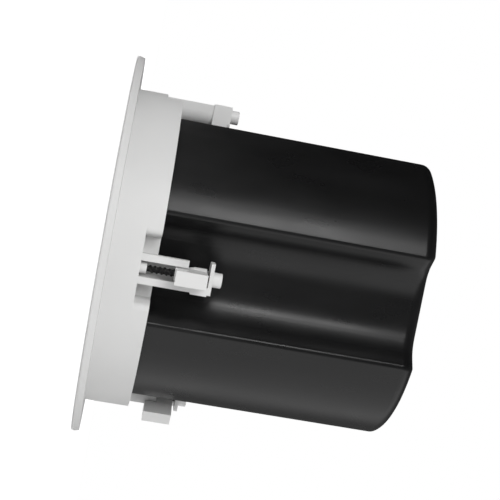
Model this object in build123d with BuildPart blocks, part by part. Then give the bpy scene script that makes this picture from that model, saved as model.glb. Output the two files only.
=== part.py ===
from build123d import *
import os
from math import cos, radians, sin, sqrt

# A round ceiling speaker with a lobed back can, a coaxial driver and four swing-out clamps.
# Millimetres. The origin is the centre of the bezel's front face, on which the speaker stands.
# +Z runs along the speaker's axis towards the back of the can. Every z below is a height above that face.
os.makedirs("parts", exist_ok=True)

# Bezel, collar and baffle: one moulding
BEZEL_OVERHANG = 21.4
BEZEL_TAPER = 1.0
BEZEL_THICKNESS = 5.0
BEZEL_FRONT_ROUND = 1.6
BEZEL_REAR_ROUND = 0.8
COLLAR_RADIUS = 104.6
COLLAR_WALL = 2.6
COLLAR_REAR = 33.6
BAFFLE_FRONT = 14.0
BAFFLE_THICKNESS = 4.0
WOOFER_OPENING_RADIUS = 73.2
BEZEL_RIM = 9.0
GRILLE_LEDGE = 3.2

# Clamp bays and screw towers
CLAMP_COUNT = 4
SCREW_INSET = 7.1
SHELF = 24.0
SHELF_SKIN = 2.4
BAY_FLOOR_SINK = 0.1
BAY_WALL = 2.2
BAY_FLOOR_HALF = 18.0
BAY_MOUTH_HALF = 22.0
BAY_SHOULDER_ROUND = 3.5
TOWER_WALL = 3.0
TOWER_LENGTH = 41.1
SLIDE_CLEARANCE = 0.3
SHORT_RAIL_OUT = 4.5
LONG_RAIL_OUT = 5.5
RAIL_STEP_LENGTH = 9.8
RAIL_STEP_OUT = 0.9
PLATE_THICKNESS = 2.2
PLATE_SHORT_OVERHANG = 1.0
PLATE_LONG_OVERHANG = 0.2
WEB_EDGE = 3.7
SCREW_SEAT_WALL = 2.0
SCREW_SLEEVE_WALL = 0.8
SCREW_SLEEVE_LENGTH = 4.0

# Clamp screw, nut, dog and cap
SCREW_RADIUS = 2.4
SCREW_CLEARANCE = 0.1
THREAD_DEPTH = 0.6
THREAD_MARGIN = 0.4
SCREW_HEAD_OVERHANG = 1.6
SCREW_HEAD_HEIGHT = 2.9
SCREW_SEAT = 17.5
CAP_SIDE_WALL = 2.1
CAP_LENGTH = 5.6
CAP_WALL = 1.3
CAP_GAP = 0.2
NUT_WALL = 1.5
NUT_LENGTH = 6.0
NUT_CLEARANCE = 0.05
DOG_LENGTH = 18.6
DOG_PLATE_GAP = 1.9
DOG_PAD_LENGTH = 10.6
DOG_HALF = 4.45
DOG_WEB_GAP = 0.4
DOG_HOOK_GAP = 1.4
DOG_HOOK_LENGTH = 7.4
HUB_NOSE_WALL = 2.0
HUB_WALL = 1.8
HUB_NOSE_LENGTH = 6.9
HUB_RAMP_LENGTH = 4.5
DOG_EDGE_ROUND = 0.5

# Back can
FLANGE_CLEARANCE = 0.8
CAN_WALL = 2.4
CAN_REAR = 201.4
CAN_REAR_ROUND = 8.0
NOTCH_CLEARANCE = 2.7
NOTCH_FLOOR_HALF = 22.5
RIDGE_ROUND = 3.0
VALLEY_ROUND = 12.0
CAN_FLANGE = 4.4
CAN_FLANGE_THICKNESS = 2.5
GASKET_THICKNESS = 1.5
CAN_SCREW_OUT = 1.2
CAN_SCREW_SPREAD = 14.0
CAN_BOSS_WALL = 1.8
CAN_BOSS_LENGTH = 9.0

# Small screws
SMALL_SCREW_RADIUS = 1.5
SMALL_HEAD_RADIUS = 2.8
SMALL_HEAD_HEIGHT = 2.1
PILOT_CLEARANCE = 0.02
HOLE_CLEARANCE = 0.25

# Woofer
FLANGE_WIDTH = 7.8
BASKET_GAUGE = 1.2
WOOFER_SCREW_OUT = 3.8
WOOFER_BOSS_WALL = 2.2
WOOFER_BOSS_LENGTH = 8.0
SURROUND_INSET = 2.6
ROLL_WIDTH = 10.0
SURROUND_GAUGE = 0.6
SURROUND_LIP = 3.4
GASKET_RING_HEIGHT = 2.4
CONE_GAUGE = 0.8
CONE_NECK = 33.8
CONE_BOW = (-0.9, -1.3)
COIL_FORMER_RADIUS = 19.6
COIL_FORMER_GAUGE = 0.4
COIL_WIRE_GAUGE = 0.5
COIL_FRONT = 30.0
COIL_REAR = 60.0
WINDING_LENGTH = 10.0
SPIDER_GAUGE = 0.5
SPIDER_LEDGE = 41.0
SPIDER_INSET = 23.4
LEDGE_WIDTH = 8.8
BASKET_WAIST = (-9.7, 30.0)
BASKET_FLOOR = 52.0
BASKET_BORE_GAP = 3.9
TOP_PLATE_RADIUS = 44.0
TOP_PLATE_THICKNESS = 6.0
COIL_GAP = 0.5
MAGNET_RADIUS = 48.0
MAGNET_BORE_GAP = 7.4
MAGNET_THICKNESS = 16.0
YOKE_THICKNESS = 6.0

# Coaxial tweeter
POST_RADIUS = 5.0
POST_SHOULDER = 1.05
SPIGOT_CLEARANCE = 0.05
HOUSING_RADIUS = 17.0
HOUSING_WALL = 1.5
HOUSING_FRONT = 10.5
HOUSING_REAR = 24.0
TWEETER_MAGNET_RADIUS = 12.0
TWEETER_MAGNET_THICKNESS = 7.0
TWEETER_PLATE_THICKNESS = 1.0
DOME_RADIUS = 9.5
DOME_HEIGHT = 3.5
DOME_GAUGE = 0.5
HORN_FRONT = 7.2
HORN_RADIUS = 22.0

# Grille
GRILLE_CLEARANCE = 0.4
GRILLE_FRONT = 0.6
GRILLE_GAUGE = 1.0
MAGNET_DISC_RADIUS = 4.0
MAGNET_DISC_SINK = 0.5

# Tap switch on the baffle
SWITCH_INSET = 14.5
SWITCH_ANGLE = 237.0
SWITCH_RADIUS = 5.8
SWITCH_LENGTH = 16.0
BUSHING_RADIUS = 3.5
KNOB_RADIUS = 4.5
KNOB_FRONT = 8.0
KNOB_GAP = 0.2
SPINDLE_RADIUS = 2.0
SPINDLE_CLEARANCE = 0.05
SPINDLE_END = 26.0

# Terminal cup, crossover board and line transformer on the can's rear wall
CUP_LENGTH = 54.0
CUP_WIDTH = 34.0
CUP_WALL = 2.0
CUP_LIP = 7.0
CUP_LIP_THICKNESS = 2.0
CUP_DEPTH = 21.4
CUP_FIT = 0.3
CUP_PAD_MARGIN = 4.0
CUP_PAD_HEIGHT = 3.0
TERMINAL_LENGTH = 32.0
TERMINAL_WIDTH = 14.0
TERMINAL_HEIGHT = 12.0
TERMINAL_WAYS = 4
TERMINAL_PITCH = 7.6
BOARD_CENTRE_Y = 47.0
BOARD_LENGTH = 66.0
BOARD_WIDTH = 40.0
BOARD_THICKNESS = 1.6
STANDOFF_HEIGHT = 6.0
STANDOFF_WALL = 1.5
STANDOFF_INSET = 5.0
TRANSFORMER_CENTRE_Y = -50.0
CORE_LENGTH = 48.0
CORE_STACK = 18.0
CORE_HEIGHT = 40.0
CORE_LEG = 8.0
WINDING_OVERHANG = 7.0
STRAP_GAUGE = 1.0
STRAP_FOOT = 13.0
TRANSFORMER_PAD_HEIGHT = 4.0

# Radii of the frame, from the collar outwards
BEZEL_RADIUS = COLLAR_RADIUS + BEZEL_OVERHANG
BEZEL_REAR_RADIUS = BEZEL_RADIUS - BEZEL_TAPER
GRILLE_WELL_RADIUS = BEZEL_RADIUS - BEZEL_RIM
GRILLE_RADIUS = GRILLE_WELL_RADIUS - GRILLE_CLEARANCE
COLLAR_INNER = COLLAR_RADIUS - COLLAR_WALL
MAGNET_DISC_CIRCLE = (COLLAR_INNER + GRILLE_WELL_RADIUS) / 2
SWITCH_CIRCLE = COLLAR_INNER - SWITCH_INSET

# The clamp, built up from its screw: nut, hub, tower bore and tower
SCREW_CIRCLE_RADIUS = COLLAR_RADIUS - SCREW_INSET
SCREW_HOLE_RADIUS = SCREW_RADIUS + SCREW_CLEARANCE
SCREW_HEAD_RADIUS = SCREW_RADIUS + SCREW_HEAD_OVERHANG
SCREW_SEAT_RADIUS = SCREW_HEAD_RADIUS + SCREW_SEAT_WALL
SCREW_SLEEVE_RADIUS = SCREW_HOLE_RADIUS + SCREW_SLEEVE_WALL
THREAD_CORE_RADIUS = SCREW_RADIUS - THREAD_DEPTH
CAP_RADIUS = SCREW_RADIUS + CAP_SIDE_WALL
NUT_RADIUS = SCREW_RADIUS + NUT_WALL
HUB_NOSE_RADIUS = SCREW_RADIUS + HUB_NOSE_WALL
HUB_RADIUS = NUT_RADIUS + HUB_WALL
TOWER_BORE_RADIUS = HUB_RADIUS + SLIDE_CLEARANCE
TOWER_HALF = TOWER_BORE_RADIUS + TOWER_WALL
SLOT_HALF = DOG_HALF + SLIDE_CLEARANCE
PLATE_SHORT_SIDE = TOWER_HALF + PLATE_SHORT_OVERHANG
PLATE_LONG_SIDE = TOWER_HALF + PLATE_LONG_OVERHANG
SHORT_RAIL_RADIUS = SCREW_CIRCLE_RADIUS + SHORT_RAIL_OUT
LONG_RAIL_RADIUS = SCREW_CIRCLE_RADIUS + LONG_RAIL_OUT
BAY_FLOOR_RADIUS = SCREW_CIRCLE_RADIUS - TOWER_HALF + BAY_FLOOR_SINK
DOG_HOOK_REACH = TOWER_HALF + DOG_HOOK_GAP
DOG_REACH = DOG_HOOK_REACH + DOG_PAD_LENGTH

# Heights along the clamp, from the shelf to the cap's end
SCREW_SLEEVE_END = SHELF + SCREW_SLEEVE_LENGTH
PLATE_FRONT = SHELF + TOWER_LENGTH
PLATE_REAR = PLATE_FRONT + PLATE_THICKNESS
RAIL_STEP = PLATE_FRONT - RAIL_STEP_LENGTH
CAP_END = PLATE_REAR + CAP_LENGTH
DOG_REAR = PLATE_FRONT - DOG_PLATE_GAP
DOG_FRONT = DOG_REAR - DOG_LENGTH
SHORT_RAIL_END = DOG_FRONT + DOG_HOOK_LENGTH
HUB_RAMP_START = DOG_FRONT + HUB_NOSE_LENGTH
HUB_RAMP_END = HUB_RAMP_START + HUB_RAMP_LENGTH

# The can fits inside the collar and round the bays
BAFFLE_REAR = BAFFLE_FRONT + BAFFLE_THICKNESS
CAN_FRONT = BAFFLE_REAR + GASKET_THICKNESS
CAN_INNER_REAR = CAN_REAR - CAN_WALL
CAN_RADIUS = COLLAR_INNER - FLANGE_CLEARANCE - CAN_FLANGE
NOTCH_FLOOR = BAY_FLOOR_RADIUS - BAY_WALL - NOTCH_CLEARANCE - CAN_FLANGE
CAN_SCREW_RADIUS = CAN_RADIUS + CAN_SCREW_OUT
PILOT_RADIUS = SMALL_SCREW_RADIUS + PILOT_CLEARANCE
SMALL_HOLE_RADIUS = SMALL_SCREW_RADIUS + HOLE_CLEARANCE
CAN_BOSS_RADIUS = SMALL_SCREW_RADIUS + CAN_BOSS_WALL
WOOFER_BOSS_RADIUS = SMALL_SCREW_RADIUS + WOOFER_BOSS_WALL
STANDOFF_RADIUS = SMALL_SCREW_RADIUS + STANDOFF_WALL

# The woofer fills the baffle's opening, and its motor is built round the voice coil
FLANGE_RADIUS = WOOFER_OPENING_RADIUS + FLANGE_WIDTH
WOOFER_SCREW_RADIUS = WOOFER_OPENING_RADIUS + WOOFER_SCREW_OUT
SURROUND_OUTER = WOOFER_OPENING_RADIUS - SURROUND_INSET
SURROUND_INNER = SURROUND_OUTER - ROLL_WIDTH
SPIDER_OUTER = WOOFER_OPENING_RADIUS - SPIDER_INSET
LEDGE_INNER = SPIDER_OUTER - LEDGE_WIDTH
BASKET_BORE = COIL_FORMER_RADIUS + COIL_WIRE_GAUGE + BASKET_BORE_GAP
MAGNET_BORE_RADIUS = COIL_FORMER_RADIUS + MAGNET_BORE_GAP
POST_SPIGOT_RADIUS = POST_RADIUS - POST_SHOULDER
FLANGE_FRONT = BAFFLE_FRONT - BASKET_GAUGE
TOP_PLATE_FRONT = BASKET_FLOOR + BASKET_GAUGE
MAGNET_FRONT = TOP_PLATE_FRONT + TOP_PLATE_THICKNESS
YOKE_FRONT = MAGNET_FRONT + MAGNET_THICKNESS
YOKE_REAR = YOKE_FRONT + YOKE_THICKNESS
LOBE_ANGLE = 180 / CLAMP_COUNT
QUARTER = 360 / CLAMP_COUNT

# Each clamp: its place round the speaker, and how far its dog is turned from straight out.
# Stored dogs lie at -90 degrees, over the short rail's end.
CLAMPS = {1: (270.0, 0.0), 2: (0.0, -59.0), 3: (90.0, -90.0), 4: (180.0, -90.0)}


def at_height(z):
    return Plane.XY.offset(z)


def save(builder, name):
    builder.part.label = name
    export_step(builder.part, f"parts/{name}.step")


def lobed_sketch(z, inset):
    """The can's outline at height z, moved inwards by inset: a circle with a flat notch at each clamp."""
    radius = CAN_RADIUS - inset
    floor = NOTCH_FLOOR - inset
    half = NOTCH_FLOOR_HALF + inset * (sqrt(2) - 1)
    with BuildSketch(at_height(z)) as outline:
        Circle(radius)
        with PolarLocations(0, CLAMP_COUNT):
            Polygon(
                (floor, -half),
                (floor, half),
                (floor + radius, half + radius),
                (floor + radius, -half - radius),
                mode=Mode.SUBTRACT,
            )
        fillet(outline.vertices().group_by(SortBy.DISTANCE)[-1], RIDGE_ROUND - inset)
        fillet(outline.vertices().group_by(SortBy.DISTANCE)[0], VALLEY_ROUND + inset)
    return outline.sketch


def can_screw_places(draw):
    """Draws at each can screw: a pair on each lobe."""
    for spread in (-CAN_SCREW_SPREAD, CAN_SCREW_SPREAD):
        with PolarLocations(CAN_SCREW_RADIUS, CLAMP_COUNT, start_angle=LOBE_ANGLE + spread):
            draw()


# The solid block behind each clamp bay, which closes the bay off from the inside of the speaker
with BuildPart() as bay_block:
    with BuildSketch(at_height(BAFFLE_REAR)):
        Polygon(
            (BAY_FLOOR_RADIUS - BAY_WALL, -BAY_FLOOR_HALF - BAY_WALL),
            (BAY_FLOOR_RADIUS - BAY_WALL, BAY_FLOOR_HALF + BAY_WALL),
            (COLLAR_RADIUS, BAY_MOUTH_HALF + BAY_SHOULDER_ROUND),
            (COLLAR_RADIUS, -BAY_MOUTH_HALF - BAY_SHOULDER_ROUND),
        )
        Circle(COLLAR_RADIUS - COLLAR_WALL / 2, mode=Mode.INTERSECT)
    extrude(amount=COLLAR_REAR - BAFFLE_REAR)

# A screw tower: a slotted tube with its slot facing outwards, so that it reads as two rails.
# Its short rail is on the -Y side here, and its web and long rail carry the end plate.
with BuildPart() as screw_tower:
    with BuildSketch(at_height(SHELF)):
        with Locations((SCREW_CIRCLE_RADIUS, 0)):
            Circle(TOWER_HALF)
            Rectangle(TOWER_HALF, 2 * TOWER_HALF, align=(Align.MIN, Align.CENTER))
        with Locations((LONG_RAIL_RADIUS, 0)):
            Rectangle(TOWER_HALF, 2 * TOWER_HALF, align=(Align.MIN, Align.CENTER), mode=Mode.SUBTRACT)
    extrude(amount=PLATE_FRONT - SHELF)
    with BuildSketch(at_height(RAIL_STEP)):
        with Locations((BAY_FLOOR_RADIUS, SLOT_HALF)):
            Rectangle(
                LONG_RAIL_RADIUS + RAIL_STEP_OUT - BAY_FLOOR_RADIUS,
                TOWER_HALF + RAIL_STEP_OUT - SLOT_HALF,
                align=(Align.MIN, Align.MIN),
            )
    extrude(amount=PLATE_FRONT - RAIL_STEP)
    with BuildSketch(at_height(SHELF)):
        with Locations((SHORT_RAIL_RADIUS, 0)):
            Rectangle(TOWER_HALF, TOWER_HALF, align=(Align.MIN, Align.MAX))
    extrude(amount=PLATE_FRONT - SHELF, mode=Mode.SUBTRACT)
    with BuildSketch(at_height(SHELF)):
        with Locations((SCREW_CIRCLE_RADIUS, 0)):
            Circle(TOWER_BORE_RADIUS)
            Rectangle(2 * TOWER_HALF, 2 * SLOT_HALF, align=(Align.MIN, Align.CENTER))
    extrude(amount=PLATE_FRONT - SHELF, mode=Mode.SUBTRACT)
    with BuildSketch(at_height(SHORT_RAIL_END)):
        with Locations((SCREW_CIRCLE_RADIUS, -WEB_EDGE)):
            Rectangle(4 * TOWER_HALF, 2 * TOWER_HALF, align=(Align.CENTER, Align.MAX))
    extrude(amount=PLATE_FRONT - SHORT_RAIL_END, mode=Mode.SUBTRACT)
    with BuildSketch(at_height(PLATE_FRONT)) as plate_face:
        with Locations((BAY_FLOOR_RADIUS, -PLATE_SHORT_SIDE)):
            Rectangle(
                LONG_RAIL_RADIUS + RAIL_STEP_OUT - BAY_FLOOR_RADIUS,
                PLATE_SHORT_SIDE + PLATE_LONG_SIDE,
                align=(Align.MIN, Align.MIN),
            )
        fillet(plate_face.vertices().group_by(Axis.X)[0], TOWER_HALF / 2)
        fillet(plate_face.vertices().group_by(Axis.X)[-1], BEZEL_REAR_ROUND)
    extrude(amount=PLATE_THICKNESS)
    with BuildSketch(at_height(SHELF)):
        with Locations((SCREW_CIRCLE_RADIUS, 0)):
            Circle(SCREW_SLEEVE_RADIUS)
    extrude(amount=SCREW_SLEEVE_END - SHELF)

with BuildPart() as front_frame:
    with BuildSketch(Plane.XZ) as frame_profile:
        Polygon(
            (GRILLE_WELL_RADIUS, 0),
            (BEZEL_RADIUS, 0),
            (BEZEL_REAR_RADIUS, BEZEL_THICKNESS),
            (COLLAR_RADIUS, BEZEL_THICKNESS),
            (COLLAR_RADIUS, COLLAR_REAR),
            (COLLAR_INNER, COLLAR_REAR),
            (COLLAR_INNER, BAFFLE_REAR),
            (WOOFER_OPENING_RADIUS, BAFFLE_REAR),
            (WOOFER_OPENING_RADIUS, BAFFLE_FRONT),
            (COLLAR_INNER, BAFFLE_FRONT),
            (COLLAR_INNER, GRILLE_LEDGE),
            (GRILLE_WELL_RADIUS, GRILLE_LEDGE),
        )
        rim = frame_profile.vertices().group_by(Axis.X)
        fillet(rim[-1], BEZEL_FRONT_ROUND)
        fillet(rim[-2], BEZEL_REAR_ROUND)
    revolve(axis=Axis.Z)
    with PolarLocations(0, CLAMP_COUNT):
        add(bay_block.part)
    with BuildSketch(at_height(SHELF)):
        with PolarLocations(0, CLAMP_COUNT):
            Polygon(
                (BAY_FLOOR_RADIUS, -BAY_FLOOR_HALF),
                (BAY_FLOOR_RADIUS, BAY_FLOOR_HALF),
                (COLLAR_RADIUS, BAY_MOUTH_HALF),
                (BEZEL_RADIUS, BAY_MOUTH_HALF),
                (BEZEL_RADIUS, -BAY_MOUTH_HALF),
                (COLLAR_RADIUS, -BAY_MOUTH_HALF),
            )
    extrude(amount=COLLAR_REAR - SHELF, mode=Mode.SUBTRACT)
    uprights = front_frame.edges().filter_by(Axis.Z).filter_by(lambda edge: edge.center().Z > SHELF)
    fillet(uprights.group_by(SortBy.DISTANCE)[-1], BAY_SHOULDER_ROUND)
    with BuildSketch(at_height(BAFFLE_FRONT)):
        with PolarLocations(0, CLAMP_COUNT):
            Polygon(
                (BAY_FLOOR_RADIUS, -BAY_FLOOR_HALF),
                (BAY_FLOOR_RADIUS, BAY_FLOOR_HALF),
                (COLLAR_RADIUS, BAY_MOUTH_HALF),
                (COLLAR_RADIUS, -BAY_MOUTH_HALF),
            )
        Circle(COLLAR_INNER, mode=Mode.INTERSECT)
        with PolarLocations(SCREW_CIRCLE_RADIUS, CLAMP_COUNT):
            Circle(SCREW_SEAT_RADIUS, mode=Mode.SUBTRACT)
    extrude(amount=SHELF - SHELF_SKIN - BAFFLE_FRONT, mode=Mode.SUBTRACT)
    with PolarLocations(0, CLAMP_COUNT):
        add(screw_tower.part)
    with BuildSketch(at_height(BAFFLE_FRONT)):
        with PolarLocations(SCREW_CIRCLE_RADIUS, CLAMP_COUNT):
            Circle(SCREW_HOLE_RADIUS)
    extrude(amount=PLATE_REAR - BAFFLE_FRONT, mode=Mode.SUBTRACT)
    with BuildSketch(at_height(BAFFLE_FRONT)):
        with PolarLocations(SCREW_CIRCLE_RADIUS, CLAMP_COUNT):
            Circle(SCREW_HEAD_RADIUS + SCREW_CLEARANCE)
    extrude(amount=SCREW_SEAT - BAFFLE_FRONT, mode=Mode.SUBTRACT)
    with BuildSketch(at_height(BAFFLE_REAR)):
        with PolarLocations(WOOFER_SCREW_RADIUS, CLAMP_COUNT, start_angle=LOBE_ANGLE):
            Circle(WOOFER_BOSS_RADIUS)
    extrude(amount=WOOFER_BOSS_LENGTH)
    with BuildSketch(at_height(BAFFLE_FRONT)):
        with PolarLocations(WOOFER_SCREW_RADIUS, CLAMP_COUNT, start_angle=LOBE_ANGLE):
            Circle(PILOT_RADIUS)
    extrude(amount=BAFFLE_THICKNESS + WOOFER_BOSS_LENGTH - 1, mode=Mode.SUBTRACT)
    with BuildSketch(at_height(BAFFLE_FRONT)):
        can_screw_places(lambda: Circle(SMALL_HOLE_RADIUS))
        with PolarLocations(SWITCH_CIRCLE, 1, start_angle=SWITCH_ANGLE):
            Circle(BUSHING_RADIUS + SCREW_CLEARANCE)
    extrude(amount=BAFFLE_THICKNESS, mode=Mode.SUBTRACT)
    with BuildSketch(at_height(GRILLE_LEDGE)):
        with PolarLocations(MAGNET_DISC_CIRCLE, CLAMP_COUNT, start_angle=LOBE_ANGLE):
            Circle(MAGNET_DISC_RADIUS + NUT_CLEARANCE)
    extrude(amount=MAGNET_DISC_SINK, mode=Mode.SUBTRACT)
save(front_frame, "front_frame")

# The grille: a sheet-steel dish whose rim stands on the ledge inside the bezel
with BuildPart() as grille:
    with BuildSketch(at_height(GRILLE_FRONT)):
        Circle(GRILLE_RADIUS)
    extrude(amount=GRILLE_LEDGE - GRILLE_FRONT)
    fillet(grille.edges().group_by(Axis.Z)[0], GRILLE_GAUGE)
    with BuildSketch(at_height(GRILLE_FRONT + GRILLE_GAUGE)):
        Circle(GRILLE_RADIUS - GRILLE_GAUGE)
    extrude(amount=GRILLE_LEDGE - GRILLE_FRONT, mode=Mode.SUBTRACT)
save(grille, "grille")

# Four disc magnets, sunk into the ledge, hold the grille by its back
with BuildPart() as grille_magnets:
    with BuildSketch(at_height(GRILLE_FRONT + GRILLE_GAUGE)):
        with PolarLocations(MAGNET_DISC_CIRCLE, CLAMP_COUNT, start_angle=LOBE_ANGLE):
            Circle(MAGNET_DISC_RADIUS)
    extrude(amount=GRILLE_LEDGE + MAGNET_DISC_SINK - GRILLE_FRONT - GRILLE_GAUGE)
save(grille_magnets, "grille_magnets")


def clamp_plane(angle, turn):
    """A plane on the screw's axis, with local X along the dog, which is turned by turn from straight out."""
    place = radians(angle)
    heading = radians(angle + turn)
    return Plane(
        origin=(SCREW_CIRCLE_RADIUS * cos(place), SCREW_CIRCLE_RADIUS * sin(place), 0),
        x_dir=(cos(heading), sin(heading), 0),
        z_dir=(0, 0, 1),
    )


def clamp_screw(plane):
    """A long pan-head screw with a cross recess, seated in the front of the frame. Between the sleeve and the
    end plate it is cut down to its thread's core."""
    with BuildPart() as screw:
        with BuildSketch(plane.offset(SCREW_SEAT - SCREW_HEAD_HEIGHT)):
            Circle(SCREW_HEAD_RADIUS)
        extrude(amount=SCREW_HEAD_HEIGHT)
        fillet(screw.edges().group_by(Axis.Z)[0], SCREW_HEAD_HEIGHT / 2)
        with BuildSketch(plane.offset(SCREW_SEAT)):
            Circle(SCREW_RADIUS)
        extrude(amount=CAP_END - CAP_WALL - SCREW_SEAT)
        chamfer(screw.edges().group_by(Axis.Z)[-1], SCREW_RADIUS / 4)
        with BuildSketch(plane.offset(SCREW_SLEEVE_END + THREAD_MARGIN)):
            Circle(SCREW_HEAD_RADIUS)
            Circle(THREAD_CORE_RADIUS, mode=Mode.SUBTRACT)
        extrude(amount=PLATE_FRONT - SCREW_SLEEVE_END - 2 * THREAD_MARGIN, mode=Mode.SUBTRACT)
        with BuildSketch(plane.offset(SCREW_SEAT - SCREW_HEAD_HEIGHT)):
            Rectangle(SCREW_HEAD_RADIUS, SCREW_RADIUS / 3)
            Rectangle(SCREW_RADIUS / 3, SCREW_HEAD_RADIUS)
        extrude(amount=SCREW_HEAD_HEIGHT * 0.6, mode=Mode.SUBTRACT)
    return screw


def screw_cap(plane):
    """A round cap pressed over the screw's end, which keeps the screw in the end plate."""
    with BuildPart() as cap:
        with BuildSketch(plane.offset(PLATE_REAR + CAP_GAP)):
            Circle(CAP_RADIUS)
        extrude(amount=CAP_END - PLATE_REAR - CAP_GAP)
        fillet(cap.edges().group_by(Axis.Z)[-1], DOG_EDGE_ROUND)
        with BuildSketch(plane.offset(PLATE_REAR + CAP_GAP)):
            Circle(SCREW_RADIUS + PILOT_CLEARANCE)
        extrude(amount=CAP_END - CAP_WALL - PLATE_REAR - CAP_GAP, mode=Mode.SUBTRACT)
    return cap


def clamp_nut(plane):
    """A round threaded insert that rides on the screw inside the dog's hub."""
    with BuildPart() as nut:
        with BuildSketch(plane.offset(HUB_RAMP_END + CAP_GAP)):
            Circle(NUT_RADIUS)
            Circle(SCREW_RADIUS + NUT_CLEARANCE, mode=Mode.SUBTRACT)
        extrude(amount=NUT_LENGTH)
    return nut


def clamp_dog(plane):
    """A dog ear: a ramped hub that fills the tower's bore, a web that runs in its slot, and a clamping pad.
    The pad hooks past the short rail, so that the dog can swing over the rail's end."""
    web_front = SHORT_RAIL_END + DOG_WEB_GAP
    with BuildPart() as dog:
        with BuildSketch(plane.offset(DOG_FRONT)):
            Circle(HUB_NOSE_RADIUS)
        extrude(amount=HUB_RAMP_START - DOG_FRONT)
        with BuildSketch(plane.offset(HUB_RAMP_START)):
            Circle(HUB_NOSE_RADIUS)
        with BuildSketch(plane.offset(HUB_RAMP_END)):
            Circle(HUB_RADIUS)
        loft()
        with BuildSketch(plane.offset(HUB_RAMP_END)):
            Circle(HUB_RADIUS)
        extrude(amount=DOG_REAR - HUB_RAMP_END)
        with BuildSketch(plane.offset(web_front)):
            Rectangle(DOG_HOOK_REACH + 1, 2 * DOG_HALF, align=(Align.MIN, Align.CENTER))
        extrude(amount=DOG_REAR - web_front)
        with BuildSketch(plane.offset(DOG_FRONT)) as pad_face:
            with Locations((DOG_HOOK_REACH, 0)):
                Rectangle(DOG_REACH - DOG_HOOK_REACH, 2 * DOG_HALF, align=(Align.MIN, Align.CENTER))
            ends = pad_face.vertices().sort_by_distance(plane.location.position)[-2:]
            fillet(ends, DOG_EDGE_ROUND)
        extrude(amount=DOG_LENGTH)
        with BuildSketch(plane.offset(DOG_FRONT)):
            Circle(SCREW_RADIUS + HOLE_CLEARANCE)
        extrude(amount=DOG_LENGTH, mode=Mode.SUBTRACT)
        with BuildSketch(plane.offset(HUB_RAMP_END + CAP_GAP / 2)):
            Circle(NUT_RADIUS + NUT_CLEARANCE)
        extrude(amount=DOG_REAR, mode=Mode.SUBTRACT)
        with BuildSketch(plane.offset(DOG_FRONT)):
            Circle(SCREW_SLEEVE_RADIUS + HOLE_CLEARANCE)
        extrude(amount=SCREW_SLEEVE_END - SHELF, mode=Mode.SUBTRACT)
    return dog


for number, (angle, turn) in CLAMPS.items():
    plane = clamp_plane(angle, turn)
    save(clamp_screw(plane), f"clamp_screw_{number}")
    save(screw_cap(plane), f"screw_cap_{number}")
    save(clamp_nut(plane), f"clamp_nut_{number}")
    save(clamp_dog(plane), f"clamp_dog_{number}")

# The back can: a lobed moulded shell with a rounded end, a screwed flange inside the collar,
# and pads and standoffs on its rear wall for the parts that hang there
cup_hole = (CUP_LENGTH + CUP_FIT, CUP_WIDTH + CUP_FIT)
cup_face = (CUP_LENGTH + 2 * CUP_LIP, CUP_WIDTH + 2 * CUP_LIP)
standoff_spacing = (BOARD_LENGTH - 2 * STANDOFF_INSET, BOARD_WIDTH - 2 * STANDOFF_INSET)
foot_spacing = CORE_LENGTH + 2 * STRAP_GAUGE + STRAP_FOOT
with BuildPart() as can_cavity:
    extrude(lobed_sketch(CAN_FRONT, CAN_WALL), amount=CAN_INNER_REAR - CAN_FRONT)
    fillet(can_cavity.edges().group_by(Axis.Z)[-1], CAN_REAR_ROUND - CAN_WALL)

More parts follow.
